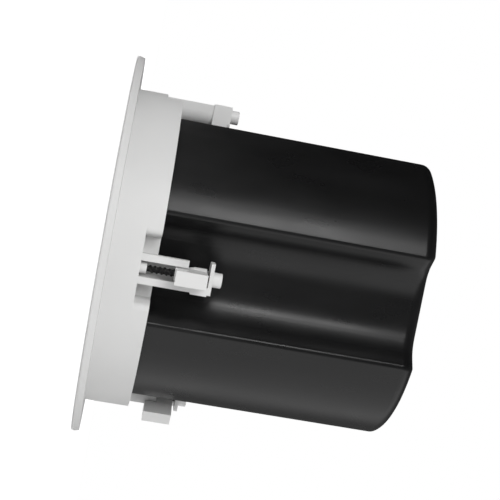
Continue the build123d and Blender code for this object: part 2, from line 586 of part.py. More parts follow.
with BuildPart() as back_can:
    extrude(lobed_sketch(CAN_FRONT, 0), amount=CAN_REAR - CAN_FRONT)
    fillet(back_can.edges().group_by(Axis.Z)[-1], CAN_REAR_ROUND)
    extrude(lobed_sketch(CAN_FRONT, -CAN_FLANGE), amount=CAN_FLANGE_THICKNESS)
    with BuildSketch(at_height(CAN_FRONT)):
        can_screw_places(lambda: Circle(CAN_BOSS_RADIUS))
    extrude(amount=CAN_BOSS_LENGTH)
    add(can_cavity.part, mode=Mode.SUBTRACT)
    with BuildSketch(at_height(CAN_FRONT)):
        can_screw_places(lambda: Circle(PILOT_RADIUS))
    extrude(amount=CAN_BOSS_LENGTH - 1, mode=Mode.SUBTRACT)
    with BuildSketch(at_height(CAN_INNER_REAR)):
        Rectangle(cup_face[0] + 2 * CUP_PAD_MARGIN, cup_face[1] + CUP_PAD_MARGIN)
    extrude(amount=-CUP_PAD_HEIGHT)
    with BuildSketch(at_height(CAN_INNER_REAR)):
        with Locations((0, TRANSFORMER_CENTRE_Y)):
            Rectangle(CORE_LENGTH + 2 * STRAP_GAUGE + 2 * STRAP_FOOT, CORE_STACK)
    extrude(amount=-TRANSFORMER_PAD_HEIGHT)
    with BuildSketch(at_height(CAN_INNER_REAR)):
        with Locations((0, BOARD_CENTRE_Y)):
            with GridLocations(*standoff_spacing, 2, 2):
                Circle(STANDOFF_RADIUS)
    extrude(amount=-STANDOFF_HEIGHT)
    with BuildSketch(at_height(CAN_INNER_REAR - STANDOFF_HEIGHT)):
        with Locations((0, BOARD_CENTRE_Y)):
            with GridLocations(*standoff_spacing, 2, 2):
                Circle(PILOT_RADIUS)
    extrude(amount=STANDOFF_HEIGHT, mode=Mode.SUBTRACT)
    with BuildSketch(at_height(CAN_INNER_REAR - TRANSFORMER_PAD_HEIGHT)):
        with Locations((0, TRANSFORMER_CENTRE_Y)):
            with GridLocations(foot_spacing, 1, 2, 1):
                Circle(PILOT_RADIUS)
    extrude(amount=TRANSFORMER_PAD_HEIGHT + CAN_WALL / 2, mode=Mode.SUBTRACT)
    with BuildSketch(at_height(CAN_REAR)):
        Rectangle(cup_face[0] + CUP_FIT, cup_face[1] + CUP_FIT)
    extrude(amount=-CUP_LIP_THICKNESS, mode=Mode.SUBTRACT)
    with BuildSketch(at_height(CAN_REAR)):
        Rectangle(*cup_hole)
        with GridLocations(CUP_LENGTH + CUP_LIP, 1, 2, 1):
            Circle(PILOT_RADIUS)
    extrude(amount=-CAN_WALL - CUP_PAD_HEIGHT, mode=Mode.SUBTRACT)
save(back_can, "back_can")

# A foam gasket seals the can's flange to the back of the baffle
with BuildPart() as can_gasket:
    extrude(lobed_sketch(BAFFLE_REAR, -CAN_FLANGE), amount=GASKET_THICKNESS)
    extrude(lobed_sketch(BAFFLE_REAR, CAN_WALL), amount=GASKET_THICKNESS, mode=Mode.SUBTRACT)
    with BuildSketch(at_height(BAFFLE_REAR)):
        can_screw_places(lambda: Circle(SMALL_HOLE_RADIUS))
    extrude(amount=GASKET_THICKNESS, mode=Mode.SUBTRACT)
save(can_gasket, "can_gasket")

with BuildPart() as can_screws:
    with BuildSketch(at_height(BAFFLE_FRONT - SMALL_HEAD_HEIGHT)):
        can_screw_places(lambda: Circle(SMALL_HEAD_RADIUS))
    extrude(amount=SMALL_HEAD_HEIGHT)
    fillet(can_screws.edges().group_by(Axis.Z)[0], SMALL_HEAD_HEIGHT / 3)
    with BuildSketch(at_height(BAFFLE_FRONT)):
        can_screw_places(lambda: Circle(SMALL_SCREW_RADIUS))
    extrude(amount=CAN_FRONT + CAN_BOSS_LENGTH - 2 - BAFFLE_FRONT)
save(can_screws, "can_screws")

# The woofer's pressed-steel basket: flange, windowed cone, spider ledge and magnet seat
BASKET_PATH = (
    (FLANGE_RADIUS, FLANGE_FRONT),
    (SURROUND_OUTER, FLANGE_FRONT),
    (WOOFER_OPENING_RADIUS + BASKET_WAIST[0], BASKET_WAIST[1]),
    (SPIDER_OUTER + 1, SPIDER_LEDGE),
    (LEDGE_INNER, SPIDER_LEDGE),
    (LEDGE_INNER - 2, BASKET_FLOOR),
    (BASKET_BORE, BASKET_FLOOR),
)
WINDOW_COUNT = 6
WINDOW_ARC = 38.0
WINDOW_FRONT = 19.0
WINDOW_REAR = 37.5
with BuildPart() as basket_window:
    with BuildSketch(Plane.XZ):
        with Locations((SPIDER_OUTER, WINDOW_FRONT)):
            Rectangle(FLANGE_RADIUS - SPIDER_OUTER, WINDOW_REAR - WINDOW_FRONT, align=(Align.MIN, Align.MIN))
    revolve(axis=Axis.Z, revolution_arc=WINDOW_ARC)

with BuildPart() as woofer_basket:
    with BuildSketch(Plane.XZ):
        with BuildLine():
            inner_side = Polyline(*BASKET_PATH)
            offset(inner_side, amount=BASKET_GAUGE, side=Side.RIGHT, kind=Kind.INTERSECTION)
        make_face()
    revolve(axis=Axis.Z)
    with PolarLocations(0, WINDOW_COUNT):
        add(basket_window.part, mode=Mode.SUBTRACT)
    with BuildSketch(at_height(FLANGE_FRONT)):
        with PolarLocations(WOOFER_SCREW_RADIUS, CLAMP_COUNT, start_angle=LOBE_ANGLE):
            Circle(SMALL_HOLE_RADIUS)
    extrude(amount=BASKET_GAUGE, mode=Mode.SUBTRACT)
save(woofer_basket, "woofer_basket")

with BuildPart() as woofer_screws:
    with BuildSketch(at_height(FLANGE_FRONT - SMALL_HEAD_HEIGHT)):
        with PolarLocations(WOOFER_SCREW_RADIUS, CLAMP_COUNT, start_angle=LOBE_ANGLE):
            Circle(SMALL_HEAD_RADIUS)
    extrude(amount=SMALL_HEAD_HEIGHT)
    fillet(woofer_screws.edges().group_by(Axis.Z)[0], SMALL_HEAD_HEIGHT / 3)
    with BuildSketch(at_height(FLANGE_FRONT)):
        with PolarLocations(WOOFER_SCREW_RADIUS, CLAMP_COUNT, start_angle=LOBE_ANGLE):
            Circle(SMALL_SCREW_RADIUS)
    extrude(amount=BAFFLE_REAR + WOOFER_BOSS_LENGTH - 2 - FLANGE_FRONT)
save(woofer_screws, "woofer_screws")

# The rubber surround: a half roll between two flat lips, which bulges towards the grille
roll_centre = (SURROUND_INNER + SURROUND_OUTER) / 2
roll_radius = (SURROUND_OUTER - SURROUND_INNER) / 2
lip_front = FLANGE_FRONT - SURROUND_GAUGE
with BuildPart() as surround:
    with BuildSketch(Plane.XZ):
        with Locations((roll_centre, FLANGE_FRONT)):
            Circle(roll_radius)
            Circle(roll_radius - SURROUND_GAUGE, mode=Mode.SUBTRACT)
            Rectangle(
                2 * SURROUND_OUTER, roll_radius, align=(Align.CENTER, Align.MIN), mode=Mode.SUBTRACT
            )
        with Locations((SURROUND_OUTER - SURROUND_GAUGE, lip_front)):
            Rectangle(SURROUND_LIP + SURROUND_GAUGE, SURROUND_GAUGE, align=(Align.MIN, Align.MIN))
        with Locations((SURROUND_INNER + SURROUND_GAUGE, lip_front)):
            Rectangle(SURROUND_LIP + SURROUND_GAUGE, SURROUND_GAUGE, align=(Align.MAX, Align.MIN))
    revolve(axis=Axis.Z)
save(surround, "surround")

with BuildPart() as woofer_gasket:
    with BuildSketch(at_height(lip_front - GASKET_RING_HEIGHT)):
        Circle(SURROUND_OUTER + SURROUND_LIP)
        Circle(SURROUND_OUTER + SURROUND_GAUGE, mode=Mode.SUBTRACT)
    extrude(amount=GASKET_RING_HEIGHT)
save(woofer_gasket, "woofer_gasket")

# The cone: thin flared paper from the surround's inner lip down to the coil former
with BuildPart() as cone:
    with BuildSketch(Plane.XZ):
        with BuildLine():
            lip = Line((SURROUND_INNER, FLANGE_FRONT), (SURROUND_INNER - SURROUND_LIP, FLANGE_FRONT))
            neck = Vector(COIL_FORMER_RADIUS - 1, CONE_NECK)
            flare = ThreePointArc(lip @ 1, (lip @ 1 + neck) / 2 + CONE_BOW, neck)
            offset([lip, flare], amount=CONE_GAUGE, side=Side.RIGHT, kind=Kind.INTERSECTION)
        make_face()
        Rectangle(2 * (COIL_FORMER_RADIUS + PILOT_CLEARANCE), 2 * COIL_REAR, mode=Mode.SUBTRACT)
    revolve(axis=Axis.Z)
save(cone, "cone")

with BuildPart() as voice_coil:
    with BuildSketch(at_height(COIL_FRONT)):
        Circle(COIL_FORMER_RADIUS)
    extrude(amount=COIL_REAR - COIL_FRONT)
    with BuildSketch(at_height(COIL_REAR - WINDING_LENGTH)):
        Circle(COIL_FORMER_RADIUS + COIL_WIRE_GAUGE)
    extrude(amount=WINDING_LENGTH)
    with BuildSketch(at_height(COIL_FRONT)):
        Circle(COIL_FORMER_RADIUS - COIL_FORMER_GAUGE)
    extrude(amount=COIL_REAR - COIL_FRONT, mode=Mode.SUBTRACT)
save(voice_coil, "voice_coil")

# The spider: a corrugated cloth ring that centres the coil from the basket's ledge
SPIDER_WAVES = 4
SPIDER_WAVE_HEIGHT = 1.6
wave_start = LEDGE_INNER + 1
wave_end = COIL_FORMER_RADIUS + 3
wave_step = (wave_start - wave_end) / (2 * SPIDER_WAVES)
spider_base = SPIDER_LEDGE - SPIDER_GAUGE
spider_path = [(SPIDER_OUTER, spider_base), (wave_start, spider_base)]
for half_wave in range(1, 2 * SPIDER_WAVES):
    rise = SPIDER_WAVE_HEIGHT if half_wave % 2 else 0
    spider_path.append((wave_start - half_wave * wave_step, spider_base - rise))
spider_path += [(wave_end, spider_base), (COIL_FORMER_RADIUS + PILOT_CLEARANCE, spider_base)]
with BuildPart() as spider:
    with BuildSketch(Plane.XZ):
        with BuildLine():
            front_side = Polyline(*spider_path)
            offset(front_side, amount=SPIDER_GAUGE, side=Side.RIGHT, kind=Kind.INTERSECTION)
        make_face()
    revolve(axis=Axis.Z)
save(spider, "spider")

# The motor: top plate, ferrite ring, and a yoke whose pole fills the voice coil
with BuildPart() as top_plate:
    with BuildSketch(at_height(TOP_PLATE_FRONT)):
        Circle(TOP_PLATE_RADIUS)
        Circle(COIL_FORMER_RADIUS + COIL_WIRE_GAUGE + COIL_GAP, mode=Mode.SUBTRACT)
    extrude(amount=TOP_PLATE_THICKNESS)
    chamfer(top_plate.edges().group_by(SortBy.LENGTH)[-1], SURROUND_GAUGE)
save(top_plate, "top_plate")

with BuildPart() as magnet_ring:
    with BuildSketch(at_height(MAGNET_FRONT)):
        Circle(MAGNET_RADIUS)
        Circle(MAGNET_BORE_RADIUS, mode=Mode.SUBTRACT)
    extrude(amount=MAGNET_THICKNESS)
    chamfer(magnet_ring.edges().group_by(SortBy.LENGTH)[-1], CONE_GAUGE)
save(magnet_ring, "magnet_ring")

with BuildPart() as yoke:
    with BuildSketch(at_height(YOKE_FRONT)):
        Circle(TOP_PLATE_RADIUS)
    extrude(amount=YOKE_THICKNESS)
    chamfer(yoke.edges().group_by(Axis.Z)[-1], SURROUND_GAUGE)
    with BuildSketch(at_height(TOP_PLATE_FRONT)):
        Circle(COIL_FORMER_RADIUS - COIL_FORMER_GAUGE - COIL_GAP)
    extrude(amount=YOKE_FRONT - TOP_PLATE_FRONT)
    with BuildSketch(at_height(TOP_PLATE_FRONT)):
        Circle(POST_SPIGOT_RADIUS + SPIGOT_CLEARANCE)
    extrude(amount=YOKE_REAR - TOP_PLATE_FRONT, mode=Mode.SUBTRACT)
save(yoke, "yoke")

# The tweeter stands in front of the pole on a post, inside the woofer's cone
with BuildPart() as tweeter_post:
    with BuildSketch(at_height(HOUSING_REAR)):
        Circle(POST_RADIUS)
    extrude(amount=TOP_PLATE_FRONT - HOUSING_REAR)
    with BuildSketch(at_height(TOP_PLATE_FRONT)):
        Circle(POST_SPIGOT_RADIUS)
    extrude(amount=YOKE_REAR - TOP_PLATE_FRONT)
save(tweeter_post, "tweeter_post")

with BuildPart() as tweeter_housing:
    with BuildSketch(at_height(HOUSING_FRONT)):
        Circle(HOUSING_RADIUS)
    extrude(amount=HOUSING_REAR - HOUSING_FRONT)
    fillet(tweeter_housing.edges().group_by(Axis.Z)[-1], HOUSING_WALL)
    with BuildSketch(at_height(HOUSING_FRONT)):
        Circle(HOUSING_RADIUS - HOUSING_WALL)
    extrude(amount=HOUSING_REAR - HOUSING_WALL - HOUSING_FRONT, mode=Mode.SUBTRACT)
save(tweeter_housing, "tweeter_housing")

tweeter_magnet_front = HOUSING_REAR - HOUSING_WALL - TWEETER_MAGNET_THICKNESS
tweeter_plate_front = tweeter_magnet_front - TWEETER_PLATE_THICKNESS
dome_base = tweeter_plate_front - DOME_GAUGE
plate_radius = HOUSING_RADIUS - HOUSING_WALL - SCREW_CLEARANCE
with BuildPart() as tweeter_magnet:
    with BuildSketch(at_height(tweeter_magnet_front)):
        Circle(TWEETER_MAGNET_RADIUS)
    extrude(amount=TWEETER_MAGNET_THICKNESS)
save(tweeter_magnet, "tweeter_magnet")

with BuildPart() as tweeter_plate:
    with BuildSketch(at_height(tweeter_plate_front)):
        Circle(plate_radius)
        Circle(DOME_RADIUS - COIL_GAP, mode=Mode.SUBTRACT)
    extrude(amount=TWEETER_PLATE_THICKNESS)
save(tweeter_plate, "tweeter_plate")

dome_sphere = (DOME_RADIUS**2 + DOME_HEIGHT**2) / (2 * DOME_HEIGHT)
with BuildPart() as tweeter_dome:
    with BuildSketch(Plane.XZ):
        with Locations((0, dome_base - DOME_HEIGHT + dome_sphere)):
            Circle(dome_sphere)
            Circle(dome_sphere - DOME_GAUGE, mode=Mode.SUBTRACT)
        with Locations((0, tweeter_plate_front)):
            Rectangle(4 * dome_sphere, 4 * dome_sphere, align=(Align.CENTER, Align.MIN), mode=Mode.SUBTRACT)
            Rectangle(2 * dome_sphere, 3 * dome_sphere, align=(Align.MAX, Align.CENTER), mode=Mode.SUBTRACT)
        with Locations((DOME_RADIUS, dome_base)):
            Rectangle(plate_radius - DOME_RADIUS, DOME_GAUGE, align=(Align.MIN, Align.MIN))
    revolve(axis=Axis.Z)
save(tweeter_dome, "tweeter_dome")

with BuildPart() as tweeter_horn:
    with BuildSketch(Plane.XZ):
        with BuildLine():
            throat = (DOME_RADIUS + 1, dome_base)
            mouth = (HORN_RADIUS - HOUSING_WALL, HORN_FRONT)
            ThreePointArc(throat, (DOME_RADIUS + 4.2, HORN_FRONT + 3.0), mouth)
            Polyline(
                mouth,
                (HORN_RADIUS, HORN_FRONT),
                (HORN_RADIUS, HOUSING_FRONT),
                (plate_radius, HOUSING_FRONT),
                (plate_radius, dome_base),
                throat,
            )
        make_face()
    revolve(axis=Axis.Z)
save(tweeter_horn, "tweeter_horn")

# The tap switch behind the baffle, and its slotted knob in front
switch_plane = Plane(
    origin=(SWITCH_CIRCLE * cos(radians(SWITCH_ANGLE)), SWITCH_CIRCLE * sin(radians(SWITCH_ANGLE)), 0)
)
with BuildPart() as tap_switch:
    with BuildSketch(switch_plane.offset(BAFFLE_REAR)):
        Circle(SWITCH_RADIUS)
    extrude(amount=SWITCH_LENGTH)
    with BuildSketch(switch_plane.offset(BAFFLE_FRONT)):
        Circle(BUSHING_RADIUS)
    extrude(amount=BAFFLE_THICKNESS)
    with BuildSketch(switch_plane.offset(BAFFLE_FRONT)):
        Circle(SPINDLE_RADIUS + SPINDLE_CLEARANCE)
    extrude(amount=SPINDLE_END + KNOB_GAP - BAFFLE_FRONT, mode=Mode.SUBTRACT)
save(tap_switch, "tap_switch")

with BuildPart() as tap_knob:
    with BuildSketch(switch_plane.offset(KNOB_FRONT)):
        Circle(KNOB_RADIUS)
    extrude(amount=BAFFLE_FRONT - KNOB_GAP - KNOB_FRONT)
    fillet(tap_knob.edges().group_by(Axis.Z)[0], DOG_EDGE_ROUND)
    with BuildSketch(switch_plane.offset(KNOB_FRONT)):
        Rectangle(2 * KNOB_RADIUS, HOUSING_WALL)
    extrude(amount=HOUSING_WALL, mode=Mode.SUBTRACT)
    with BuildSketch(switch_plane.offset(BAFFLE_FRONT - KNOB_GAP)):
        Circle(SPINDLE_RADIUS)
    extrude(amount=SPINDLE_END - BAFFLE_FRONT + KNOB_GAP)
save(tap_knob, "tap_knob")

# The terminal cup is let into the can's rear wall, with a four-way block on its floor
cup_bottom = CAN_REAR - CUP_DEPTH
cup_floor = cup_bottom + CUP_WALL
with BuildPart() as terminal_cup:
    with BuildSketch(at_height(cup_bottom)):
        Rectangle(CUP_LENGTH, CUP_WIDTH)
    extrude(amount=CUP_DEPTH)
    with BuildSketch(at_height(CAN_REAR)):
        Rectangle(*cup_face)
    extrude(amount=-CUP_LIP_THICKNESS)
    with BuildSketch(at_height(cup_floor)):
        Rectangle(CUP_LENGTH - 2 * CUP_WALL, CUP_WIDTH - 2 * CUP_WALL)
    extrude(amount=CUP_DEPTH, mode=Mode.SUBTRACT)
    with BuildSketch(at_height(CAN_REAR)):
        with GridLocations(CUP_LENGTH + CUP_LIP, 1, 2, 1):
            Circle(SMALL_HOLE_RADIUS)
    extrude(amount=-CUP_LIP_THICKNESS, mode=Mode.SUBTRACT)
save(terminal_cup, "terminal_cup")

with BuildPart() as terminal_block:
    with BuildSketch(at_height(cup_floor)):
        Rectangle(TERMINAL_LENGTH, TERMINAL_WIDTH)
    extrude(amount=TERMINAL_HEIGHT)
    with BuildSketch(at_height(cup_floor + TERMINAL_HEIGHT)):
        with GridLocations(TERMINAL_PITCH, 1, TERMINAL_WAYS, 1):
            Rectangle(TERMINAL_PITCH - CUP_WALL, TERMINAL_WIDTH / 3)
    extrude(amount=-TERMINAL_HEIGHT * 0.6, mode=Mode.SUBTRACT)
save(terminal_block, "terminal_block")

with BuildPart() as cup_screws:
    with BuildSketch(at_height(CAN_REAR)):
        with GridLocations(CUP_LENGTH + CUP_LIP, 1, 2, 1):
            Circle(SMALL_HEAD_RADIUS)
    extrude(amount=SMALL_HEAD_HEIGHT / 2)
    with BuildSketch(at_height(CAN_REAR)):
        with GridLocations(CUP_LENGTH + CUP_LIP, 1, 2, 1):
            Circle(SMALL_SCREW_RADIUS)
    extrude(amount=-CUP_LIP_THICKNESS - CUP_PAD_HEIGHT)
save(cup_screws, "cup_screws")

# The crossover board hangs on standoffs, with its parts on the side away from the wall
board_rear = CAN_INNER_REAR - STANDOFF_HEIGHT
board_front = board_rear - BOARD_THICKNESS
with BuildPart() as crossover_board:
    with BuildSketch(at_height(board_front)):
        with Locations((0, BOARD_CENTRE_Y)):
            Rectangle(BOARD_LENGTH, BOARD_WIDTH)
            with GridLocations(*standoff_spacing, 2, 2):
                Circle(SMALL_HOLE_RADIUS, mode=Mode.SUBTRACT)
    extrude(amount=BOARD_THICKNESS)
save(crossover_board, "crossover_board")

with BuildPart() as board_screws:
    with BuildSketch(at_height(board_front - SMALL_HEAD_HEIGHT)):
        with Locations((0, BOARD_CENTRE_Y)):
            with GridLocations(*standoff_spacing, 2, 2):
                Circle(SMALL_HEAD_RADIUS)
    extrude(amount=SMALL_HEAD_HEIGHT)
    with BuildSketch(at_height(board_front)):
        with Locations((0, BOARD_CENTRE_Y)):
            with GridLocations(*standoff_spacing, 2, 2):
                Circle(SMALL_SCREW_RADIUS)
    extrude(amount=BOARD_THICKNESS + STANDOFF_HEIGHT - 1)
save(board_screws, "board_screws")

COIL_OUTER = 13.0
COIL_BORE = 6.0
COIL_HEIGHT = 10.0
COIL_X = -13.0
with BuildPart() as crossover_coil:
    with BuildSketch(at_height(board_front)):
        with Locations((COIL_X, BOARD_CENTRE_Y)):
            Circle(COIL_OUTER)
            Circle(COIL_BORE, mode=Mode.SUBTRACT)
    extrude(amount=-COIL_HEIGHT)
save(crossover_coil, "crossover_coil")

CAPACITOR_RADIUS = 5.5
CAPACITOR_LENGTH = 24.0
CAPACITOR_XS = (9.0, 21.5)
with BuildPart() as crossover_capacitors:
    for x in CAPACITOR_XS:
        with BuildSketch(Plane.XZ.offset(-BOARD_CENTRE_Y - CAPACITOR_LENGTH / 2)):
            with Locations((x, board_front - CAPACITOR_RADIUS - PILOT_CLEARANCE)):
                Circle(CAPACITOR_RADIUS)
    extrude(amount=CAPACITOR_LENGTH)
save(crossover_capacitors, "crossover_capacitors")

# The line transformer: an E-I core round a wound bobbin, strapped to its pad
core_rear = CAN_INNER_REAR - TRANSFORMER_PAD_HEIGHT
core_front = core_rear - CORE_HEIGHT
window_width = (CORE_LENGTH - 4 * CORE_LEG) / 2
window_height = CORE_HEIGHT - 2 * CORE_LEG
core_centre = (0, TRANSFORMER_CENTRE_Y, (core_front + core_rear) / 2)
core_middle = Plane(origin=core_centre, x_dir=(1, 0, 0), z_dir=(0, -1, 0))
with BuildPart() as transformer_core:
    with BuildSketch(core_middle):
        Rectangle(CORE_LENGTH, CORE_HEIGHT)
        with GridLocations(2 * CORE_LEG + window_width, 1, 2, 1):
            Rectangle(window_width, window_height, mode=Mode.SUBTRACT)
    extrude(amount=CORE_STACK / 2, both=True)
save(transformer_core, "transformer_core")

with BuildPart() as transformer_winding:
    with BuildSketch(core_middle) as winding_face:
        Rectangle(2 * (CORE_LEG + window_width - CUP_FIT), window_height - 2 * CUP_FIT)
    extrude(amount=CORE_STACK / 2 + WINDING_OVERHANG, both=True)
    fillet(transformer_winding.edges().filter_by(Axis.Z), COIL_FORMER_GAUGE * 5)
    with BuildSketch(core_middle):
        Rectangle(2 * (CORE_LEG + SCREW_CLEARANCE), window_height)
    extrude(amount=(CORE_STACK + CUP_FIT) / 2, both=True, mode=Mode.SUBTRACT)
save(transformer_winding, "transformer_winding")

with BuildPart() as transformer_strap:
    with BuildSketch(core_middle):
        with Locations((0, -STRAP_GAUGE / 2)):
            Rectangle(CORE_LENGTH + 2 * STRAP_GAUGE, CORE_HEIGHT + STRAP_GAUGE)
        with Locations((0, CORE_HEIGHT / 2)):
            Rectangle(
                CORE_LENGTH + 2 * STRAP_GAUGE + 2 * STRAP_FOOT, STRAP_GAUGE, align=(Align.CENTER, Align.MAX)
            )
        Rectangle(CORE_LENGTH, CORE_HEIGHT, mode=Mode.SUBTRACT)
    extrude(amount=CORE_STACK / 3, both=True)
    with BuildSketch(at_height(core_rear)):
        with Locations((0, TRANSFORMER_CENTRE_Y)):
            with GridLocations(foot_spacing, 1, 2, 1):
                Circle(SMALL_HOLE_RADIUS)
    extrude(amount=-STRAP_GAUGE, mode=Mode.SUBTRACT)
save(transformer_strap, "transformer_strap")

with BuildPart() as transformer_screws:
    with BuildSketch(at_height(core_rear - STRAP_GAUGE)):
        with Locations((0, TRANSFORMER_CENTRE_Y)):
            with GridLocations(foot_spacing, 1, 2, 1):
                Circle(SMALL_HEAD_RADIUS)
    extrude(amount=-SMALL_HEAD_HEIGHT)
    with BuildSketch(at_height(core_rear - STRAP_GAUGE)):
        with Locations((0, TRANSFORMER_CENTRE_Y)):
            with GridLocations(foot_spacing, 1, 2, 1):
                Circle(SMALL_SCREW_RADIUS)
    extrude(amount=STRAP_GAUGE + TRANSFORMER_PAD_HEIGHT)
save(transformer_screws, "transformer_screws")
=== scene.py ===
import bpy
import numpy as np
from mathutils import Matrix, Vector
from mathutils.geometry import delaunay_2d_cdt


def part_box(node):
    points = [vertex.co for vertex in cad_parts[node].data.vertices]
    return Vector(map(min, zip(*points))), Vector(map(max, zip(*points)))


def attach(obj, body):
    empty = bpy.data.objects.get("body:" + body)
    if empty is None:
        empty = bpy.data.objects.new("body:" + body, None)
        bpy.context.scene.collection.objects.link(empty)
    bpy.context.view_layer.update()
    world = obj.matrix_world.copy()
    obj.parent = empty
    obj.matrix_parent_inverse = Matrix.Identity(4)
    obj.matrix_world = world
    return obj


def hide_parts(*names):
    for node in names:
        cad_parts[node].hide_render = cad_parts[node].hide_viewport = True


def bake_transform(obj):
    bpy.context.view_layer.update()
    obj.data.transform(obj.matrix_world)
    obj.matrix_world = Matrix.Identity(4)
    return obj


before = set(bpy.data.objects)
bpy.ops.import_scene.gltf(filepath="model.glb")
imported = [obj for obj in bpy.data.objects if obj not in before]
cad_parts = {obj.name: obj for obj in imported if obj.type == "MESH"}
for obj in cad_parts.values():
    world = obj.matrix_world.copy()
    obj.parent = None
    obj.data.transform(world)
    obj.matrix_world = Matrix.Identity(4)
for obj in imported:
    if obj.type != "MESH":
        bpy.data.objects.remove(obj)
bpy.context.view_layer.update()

# The camera: the speaker stands on its bezel and the camera looks along +Y, turned on its side.
# The camera's three directions and its place come from a fit to the bezel, the clamps and the can's outline.
camera_right = (-0.1854, -0.0914, 0.9784)
camera_up = (-0.9781, 0.1125, -0.1749)
camera_back = (-0.0941, -0.9894, -0.1102)
camera_place = (-0.08453, -0.76008, 0.01227)
SENSOR_MM = 36.0
FOCAL_PIXELS = 1132.0
FRAME_PIXELS = 500.0
lens = bpy.data.cameras.new("camera")
lens.sensor_width = SENSOR_MM
lens.lens = SENSOR_MM * FOCAL_PIXELS / FRAME_PIXELS
lens.clip_start = 0.01
lens.clip_end = 50.0
camera = bpy.data.objects.new("camera", lens)
bpy.context.scene.collection.objects.link(camera)
camera.matrix_world = Matrix([*zip(camera_right, camera_up, camera_back, camera_place), (0, 0, 0, 1)])
bpy.context.scene.camera = camera
bpy.context.scene.view_settings.view_transform = "Standard"


class Socket:
    """One value in a node tree. Arithmetic on it adds Math nodes, and node() adds any other kind."""

    def __init__(self, tree, link=None):
        self.tree = tree
        self.link = link

    def node(self, kind, settings=None, inputs=None, output=0):
        """Adds a node, sets its settings, then gives its sockets values or links, and returns one output."""
        made = self.tree.nodes.new("ShaderNode" + kind)
        for name, value in (settings or {}).items():
            if name == "curve":
                made.color_ramp.interpolation = value
            elif name == "stops":
                while len(made.color_ramp.elements) < len(value):
                    made.color_ramp.elements.new(0.5)
                for element, (position, colour) in zip(made.color_ramp.elements, value):
                    element.position = position
                    element.color = (*colour, 1) if isinstance(colour, tuple) else (colour,) * 3 + (1,)
            else:
                setattr(made, name, value)
        for name, value in (inputs or {}).items():
            if isinstance(value, Socket):
                self.tree.links.new(value.link, made.inputs[name])
            else:
                made.inputs[name].default_value = value
        return Socket(self.tree, made.outputs[output])

    def math(self, operation, *others):
        """A Math node whose first value is this one."""
        return self.node("Math", {"operation": operation}, dict(enumerate((self, *others))))

    def __add__(self, other):
        return self.math("ADD", other)

    def __sub__(self, other):
        return self.math("SUBTRACT", other)

    def __rsub__(self, other):
        return self.math("MULTIPLY", -1.0) + other

    def __mul__(self, other):
        return self.math("MULTIPLY", other)

    def __truediv__(self, other):
        return self.math("DIVIDE", other)

    def __rtruediv__(self, other):
        return self.math("POWER", -1.0) * other

    __radd__ = __add__
    __rmul__ = __mul__

    def mix(self, first, second):
        """A colour that goes from first to second as this value goes from 0 to 1."""
        ends = [value if isinstance(value, Socket) else (*value, 1) for value in (first, second)]
        return self.node("Mix", {"data_type": "RGBA"}, {0: self, 6: ends[0], 7: ends[1]}, 2)


# The room: white to the camera, and for matt surfaces a grey that fades behind the speaker, so that the black
# can shows its form. Gloss mirrors a room that is dark towards -X and bright towards +X, and duller behind.
WHITE = (1.0, 1.0, 1.0)
ROOM_LEVEL = 0.26
ROOM_DARK = 0.05
world = bpy.data.worlds.new("room")
bpy.context.scene.world = world
world.use_nodes = True
world.node_tree.nodes.clear()
room = Socket(world.node_tree)
way = room.node("TexCoord")
axes = [room.node("SeparateXYZ", inputs={0: way}, output=side) for side in range(2)]
behind = axes[1] * 0.75 - axes[0] * 0.65 + 0.25
shade = room.node("ValToRGB", {"stops": [(0.0, ROOM_LEVEL), (0.9, ROOM_DARK)]}, {0: behind})
bright_side = (axes[0] - axes[1].math("MAXIMUM", 0.0) * 0.75) * 0.5 + 0.5
mirror_stops = [(0.05, 0.010), (0.5, 0.11), (0.58, 0.10), (0.70, 0.18), (0.82, 0.90), (0.98, 0.72)]
mirrored = room.node("ValToRGB", {"stops": mirror_stops}, {0: bright_side})
seen, through, gloss = (
    room.node("LightPath", output=f"Is {kind} Ray") for kind in ("Camera", "Transmission", "Glossy")
)
white_part = (seen + through).math("MINIMUM", 1.0)
light = white_part.mix(gloss.mix(shade, mirrored), WHITE)
background = room.node("Background", inputs={"Color": light, "Strength": 1.0})
surface = world.node_tree.nodes.new("ShaderNodeOutputWorld").inputs["Surface"]
world.node_tree.links.new(background.link, surface)


def soft_box(name, place, aim, size, watts, shown):
    """An area lamp at place that points at aim, with a width and height. Gloss mirrors it if it is shown.
    across is the cross product of along with +Z, and above is the cross product of across with along."""
    lamp = bpy.data.lights.new(name, "AREA")
    lamp.shape = "RECTANGLE"
    lamp.size, lamp.size_y = size
    lamp.energy = watts
    holder = bpy.data.objects.new(name, lamp)
    holder.visible_glossy = shown
    bpy.context.scene.collection.objects.link(holder)
    along = np.array(aim, float) - np.array(place, float)
    across = np.cross(along, (0, 0, 1))
    above = np.cross(across, along)
    turn = np.stack([v / np.linalg.norm(v) for v in (across, above, -along)], axis=1)
    holder.matrix_world = Matrix([(*turn[row], place[row]) for row in range(3)] + [(0, 0, 0, 1)])


soft_box("key", (-0.62, -1.25, 0.60), (0, 0, 0.08), (0.6, 0.6), 7.6, False)
soft_box("strip", (-0.80, -0.92, 0.24), (0, 0, 0.1), (0.20, 0.46), 2.2, True)
soft_box("fill", (1.2, -0.9, 0.35), (0, 0, 0.1), (1.1, 1.1), 6.5, False)
soft_box("overhead", (0.2, 0.5, 1.5), (0, 0, 0.1), (1.0, 1.0), 8.0, False)


